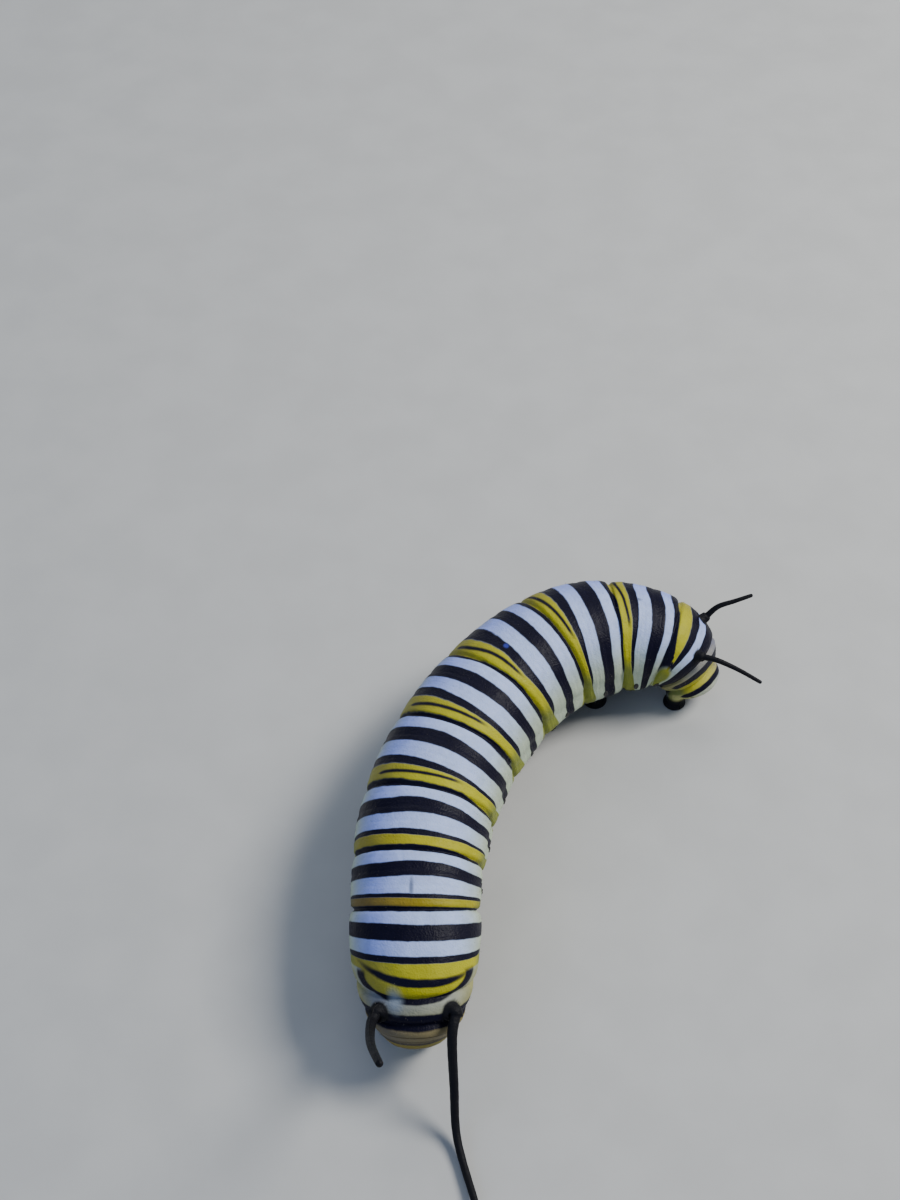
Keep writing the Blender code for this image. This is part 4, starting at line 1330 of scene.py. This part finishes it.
def makeSpiracles():
    mesh = bmesh.new()
    wide, tall, thick = (size * mm for size in fineParts["spiracleSize"])
    deep, narrow = fineParts["spiracleDent"]
    for place in fineParts["spiraclePlaces"]:
        for side in (1, -1):
            point, normal = onSkin(place, side * fineParts["spiracleAngle"])
            ring = bodyRing(place)
            along = (ring.forward - normal * ring.forward.dot(normal)).normalized()
            down = normal.cross(along)
            made = bmesh.ops.create_uvsphere(mesh, u_segments=32, v_segments=20, radius=1.0)["verts"]
            for vertex in made:
                x, y, z = vertex.co
                dent = 0.0
                if z > 0:
                    dent = deep * bell(x, narrow) * smoothStep(1.0, 0.4, math.hypot(x, y))
                vertex.co = point + along * x * wide + down * y * tall + normal * thick * (z - dent)
    return mesh


def makeHairs():
    mesh = bmesh.new()
    chance = random.Random(fineParts["hairSeed"])
    for _ in range(fineParts["hairs"]):
        place, degrees = chance.uniform(*fineParts["hairPlaces"]), chance.uniform(*fineParts["hairAngles"])
        point, normal = onSkin(place, degrees)
        drift = Vector([chance.uniform(*fineParts["hairDrift"]) for _ in range(3)])
        length = chance.uniform(*fineParts["hairLength"]) * mm
        root = point - normal * fineParts["hairDepth"] * mm
        addCone(mesh, root, (normal + drift).normalized(), length, fineParts["hairRadius"] * mm, sides=4)
    return mesh


def makeHooks():
    mesh = bmesh.new()
    first, last = fineParts["hookArc"]
    out, height = fineParts["hookRoot"]
    length, thickness = (size * mm for size in fineParts["hookSize"])
    for place, offset, radius in prolegs["rows"]:
        ring = bodyRing(place)
        back = levelBack(ring)
        for side in (1, -1):
            sole = onFloor(ring.centre) + ring.left * side * (offset + prolegs["leanOut"]) * mm
            for step in range(fineParts["hooks"]):
                turn = math.radians(first + (last - first) * step / (fineParts["hooks"] - 1))
                flat = roundAxis(-ring.left * side, back, turn)
                root = sole + flat * radius * out * mm + up * height * mm
                lean = (flat - up * fineParts["hookLean"]).normalized()
                addCone(mesh, root, lean, length, thickness, sides=6)
    return mesh


# Each shell's dark and light colour, roughness, coat, scale of its pebbles and of its wrinkles,
# and bump in metres.
shellLooks = {
    "head": ((0.006, 0.006, 0.008, 1.0), (0.016, 0.014, 0.014, 1.0), 0.22, 0.5, 14000.0, 5200.0, 0.00001),
    "leg": ((0.005, 0.005, 0.006, 1.0), (0.018, 0.015, 0.014, 1.0), 0.24, 0.45, 12000.0, 4200.0, 0.000012),
    "mouth": ((0.012, 0.006, 0.004, 1.0), (0.06, 0.026, 0.012, 1.0), 0.26, 0.4, 16000.0, 6000.0, 0.000008),
    "antenna": ((0.30, 0.26, 0.12, 1.0), (0.55, 0.50, 0.30, 1.0), 0.38, 0.2, 18000.0, 7000.0, 0.000006),
    "eye": ((0.004, 0.003, 0.003, 1.0), (0.03, 0.012, 0.006, 1.0), 0.06, 1.0, 9000.0, 3500.0, 0.000001),
    "claw": ((0.02, 0.009, 0.004, 1.0), (0.12, 0.055, 0.02, 1.0), 0.25, 0.4, 20000.0, 8000.0, 0.000004),
    "hole": ((0.003, 0.003, 0.004, 1.0), (0.014, 0.012, 0.012, 1.0), 0.36, 0.1, 20000.0, 8000.0, 0.000006),
    "hair": ((0.05, 0.045, 0.04, 1.0), (0.30, 0.28, 0.24, 1.0), 0.4, 0.0, 9000.0, 900.0, 0.000002),
}
shellFinish = {
    "faceYellow": (0.55, 0.50, 0.09, 1.0),
    "mottleRough": 0.12,
    "wrinkles": 0.6,
    "coatRough": 0.08,
}

# Where the yellow marks of the face fade, in millimetres across, up or forward on the head.
faceFades = {
    "inner": (0.07, 0.11, 1.0, 0.0),
    "outer": (0.1, 0.15, 1.0, 0.0),
    "outerFoot": (-0.5, -0.3),
    "spotSide": (0.1, 0.18, 1.0, 0.0),
    "spotTop": (-0.45, -0.38, 1.0, 0.0),
    "spotFoot": (-0.72, -0.66),
    "crown": (-0.95, -0.75),
}


def faceMarks(tree):
    # yellow inverted V that runs on over the crown, an outer arc on each side and a spot between
    side, rise, reach = (attribute(tree, name) for name in ("faceSide", "faceRise", "faceReach"))

    def fade(name, value):
        return ramp(tree, value, *faceFades[name])

    def fromLine(value, slope, start):
        line = calc(tree, "MULTIPLY_ADD", value, slope, start)
        return calc(tree, "ABSOLUTE", calc(tree, "SUBTRACT", side, line))

    over, start = head["innerMark"]
    drop = calc(tree, "MAXIMUM", calc(tree, "SUBTRACT", head["apex"] + over, rise), 0.0)
    inner = fade("inner", fromLine(drop, head["spread"], start))
    outer = calc(tree, "MULTIPLY", fade("outer", fromLine(rise, *head["outerMark"])), fade("outerFoot", rise))
    spot = join(tree, "MULTIPLY", fade("spotSide", side), fade("spotTop", rise), fade("spotFoot", rise))
    return calc(tree, "MULTIPLY", join(tree, "MAXIMUM", inner, outer, spot), fade("crown", reach))


def shellMaterial(name, kind):
    # hard, shining cuticle with a fine grain
    dark, light, roughness, coat, pebbles, wrinkles, bump = shellLooks[kind]
    material, tree, shader, position = newMaterial(name)
    surface = useGroup(tree, grain, {
        "Vector": position, "Pebble Scale": pebbles, "Wrinkle Scale": wrinkles,
        "Wrinkles": shellFinish["wrinkles"],
    })
    colour = mixColours(tree, surface["Mottle"], dark, light)
    if kind == "head":
        colour = mixColours(tree, faceMarks(tree), colour, shellFinish["faceYellow"])
    tree.links.new(colour, shader.inputs["Base Color"])
    rough = calc(tree, "MULTIPLY_ADD", surface["Mottle"], shellFinish["mottleRough"], roughness)
    tree.links.new(rough, shader.inputs["Roughness"])
    shader.inputs["Coat Weight"].default_value = coat
    shader.inputs["Coat Roughness"].default_value = shellFinish["coatRough"]
    bumpInto(tree, shader, surface["Height"], bump)
    return material


finishPiece("head_capsule", makeHead(), shellMaterial("head shell", "head"), ["head"])
finishPiece("eyes", makeEyes(), shellMaterial("eye", "eye"))
print("head and eyes made")
mouthLook = shellMaterial("mouth shell", "mouth")
for plateName in mouth["plates"]:
    finishPiece(f"fine_{plateName}", makePlate(plateName), mouthLook, [plateName])
antennaLook = shellMaterial("antenna shell", "antenna")
bothSides = ((1, "left"), (-1, "right"))
for side, sideName in bothSides:
    name = f"antenna_{sideName}"
    finishPiece(f"fine_{name}", makeAntenna(side), antennaLook, [name])
print("mouth parts and antennae made")
legLook = shellMaterial("leg shell", "leg")
for legRow in legs["rows"]:
    for side, sideName in bothSides:
        legName = f"leg_{legRow[0]}_{sideName}"
        finishPiece(f"jointed_{legName}", makeLeg(legRow, side), legLook, [legName])
clawLook = shellMaterial("claw", "claw")
finishPiece("claws", makeClaws(), clawLook)
finishPiece("hooks", makeHooks(), clawLook)
print("legs, claws and hooks made")
finishPiece("breathing_holes", makeSpiracles(), shellMaterial("breathing hole", "hole"))
finishPiece("fine_hairs", makeHairs(), shellMaterial("fine hair", "hair"))
print("breathing holes and hairs made")


stage = {
    "floorSize": 0.9,
    "floorColour": (0.60, 0.60, 0.58, 1.0),
    "floorSpeckle": (220.0, 4.0),  # scale and detail
    "floorShade": (0.3, 0.7, 0.97, 1.03),
    "floorRough": 0.8,
    "worldColour": (0.62, 0.76, 1.0, 1.0),
    "worldStrength": 0.24,
    # place, size and power of each lamp, and its colour
    "lamps": [
        ("key lamp", (0.17, 0.05, 0.2), 0.1, 0.7, (1.0, 0.98, 0.94)),
        ("fill lamp", (-0.2, -0.16, 0.16), 0.2, 0.17, (0.45, 0.6, 1.0)),
        ("back lamp", (-0.05, 0.24, 0.2), 0.16, 0.14, (1.0, 1.0, 1.0)),
    ],
    "cameraPlace": (-6.622, -56.749, 87.561),
    "cameraElevation": 48.0,
    "lens": 54.0,
    "clip": (0.005, 5.0),
}


def floorMaterial():
    material, tree, shader, position = newMaterial("pale floor")
    speckle = noiseValue(tree, position, *stage["floorSpeckle"])
    shade = ramp(tree, speckle, *stage["floorShade"])
    colour = mixColours(tree, 1.0, stage["floorColour"], grey(tree, shade), "MULTIPLY")
    tree.links.new(colour, shader.inputs["Base Color"])
    shader.inputs["Roughness"].default_value = stage["floorRough"]
    return material


def makeStage():
    mesh = bmesh.new()
    bmesh.ops.create_grid(mesh, x_segments=4, y_segments=4, size=stage["floorSize"] / 2)
    data = bpy.data.meshes.new("floor")
    mesh.to_mesh(data)
    mesh.free()
    data.materials.append(floorMaterial())
    floor = bpy.data.objects.new("floor", data)
    bpy.context.scene.collection.objects.link(floor)
    world = bpy.context.scene.world or bpy.data.worlds.new("studio")
    bpy.context.scene.world = world
    world.use_nodes = True
    sky = world.node_tree.nodes["Background"]
    sky.inputs["Color"].default_value = stage["worldColour"]
    sky.inputs["Strength"].default_value = stage["worldStrength"]
    for name, place, size, power, colour in stage["lamps"]:
        lampData = bpy.data.lights.new(name, "AREA")
        lampData.size = size
        lampData.energy = power
        lampData.color = colour
        lamp = bpy.data.objects.new(name, lampData)
        lamp.location = place
        lamp.rotation_euler = (-Vector(place)).to_track_quat("-Z", "Y").to_euler()
        bpy.context.scene.collection.objects.link(lamp)
    cameraData = bpy.data.cameras.new("camera")
    cameraData.lens = stage["lens"]
    cameraData.clip_start, cameraData.clip_end = stage["clip"]
    camera = bpy.data.objects.new("camera", cameraData)
    camera.location = Vector(stage["cameraPlace"]) * mm
    camera.rotation_euler = (math.radians(90.0 - stage["cameraElevation"]), 0.0, 0.0)
    bpy.context.scene.collection.objects.link(camera)
    bpy.context.scene.camera = camera


makeStage()
print("floor, lamps and camera set")
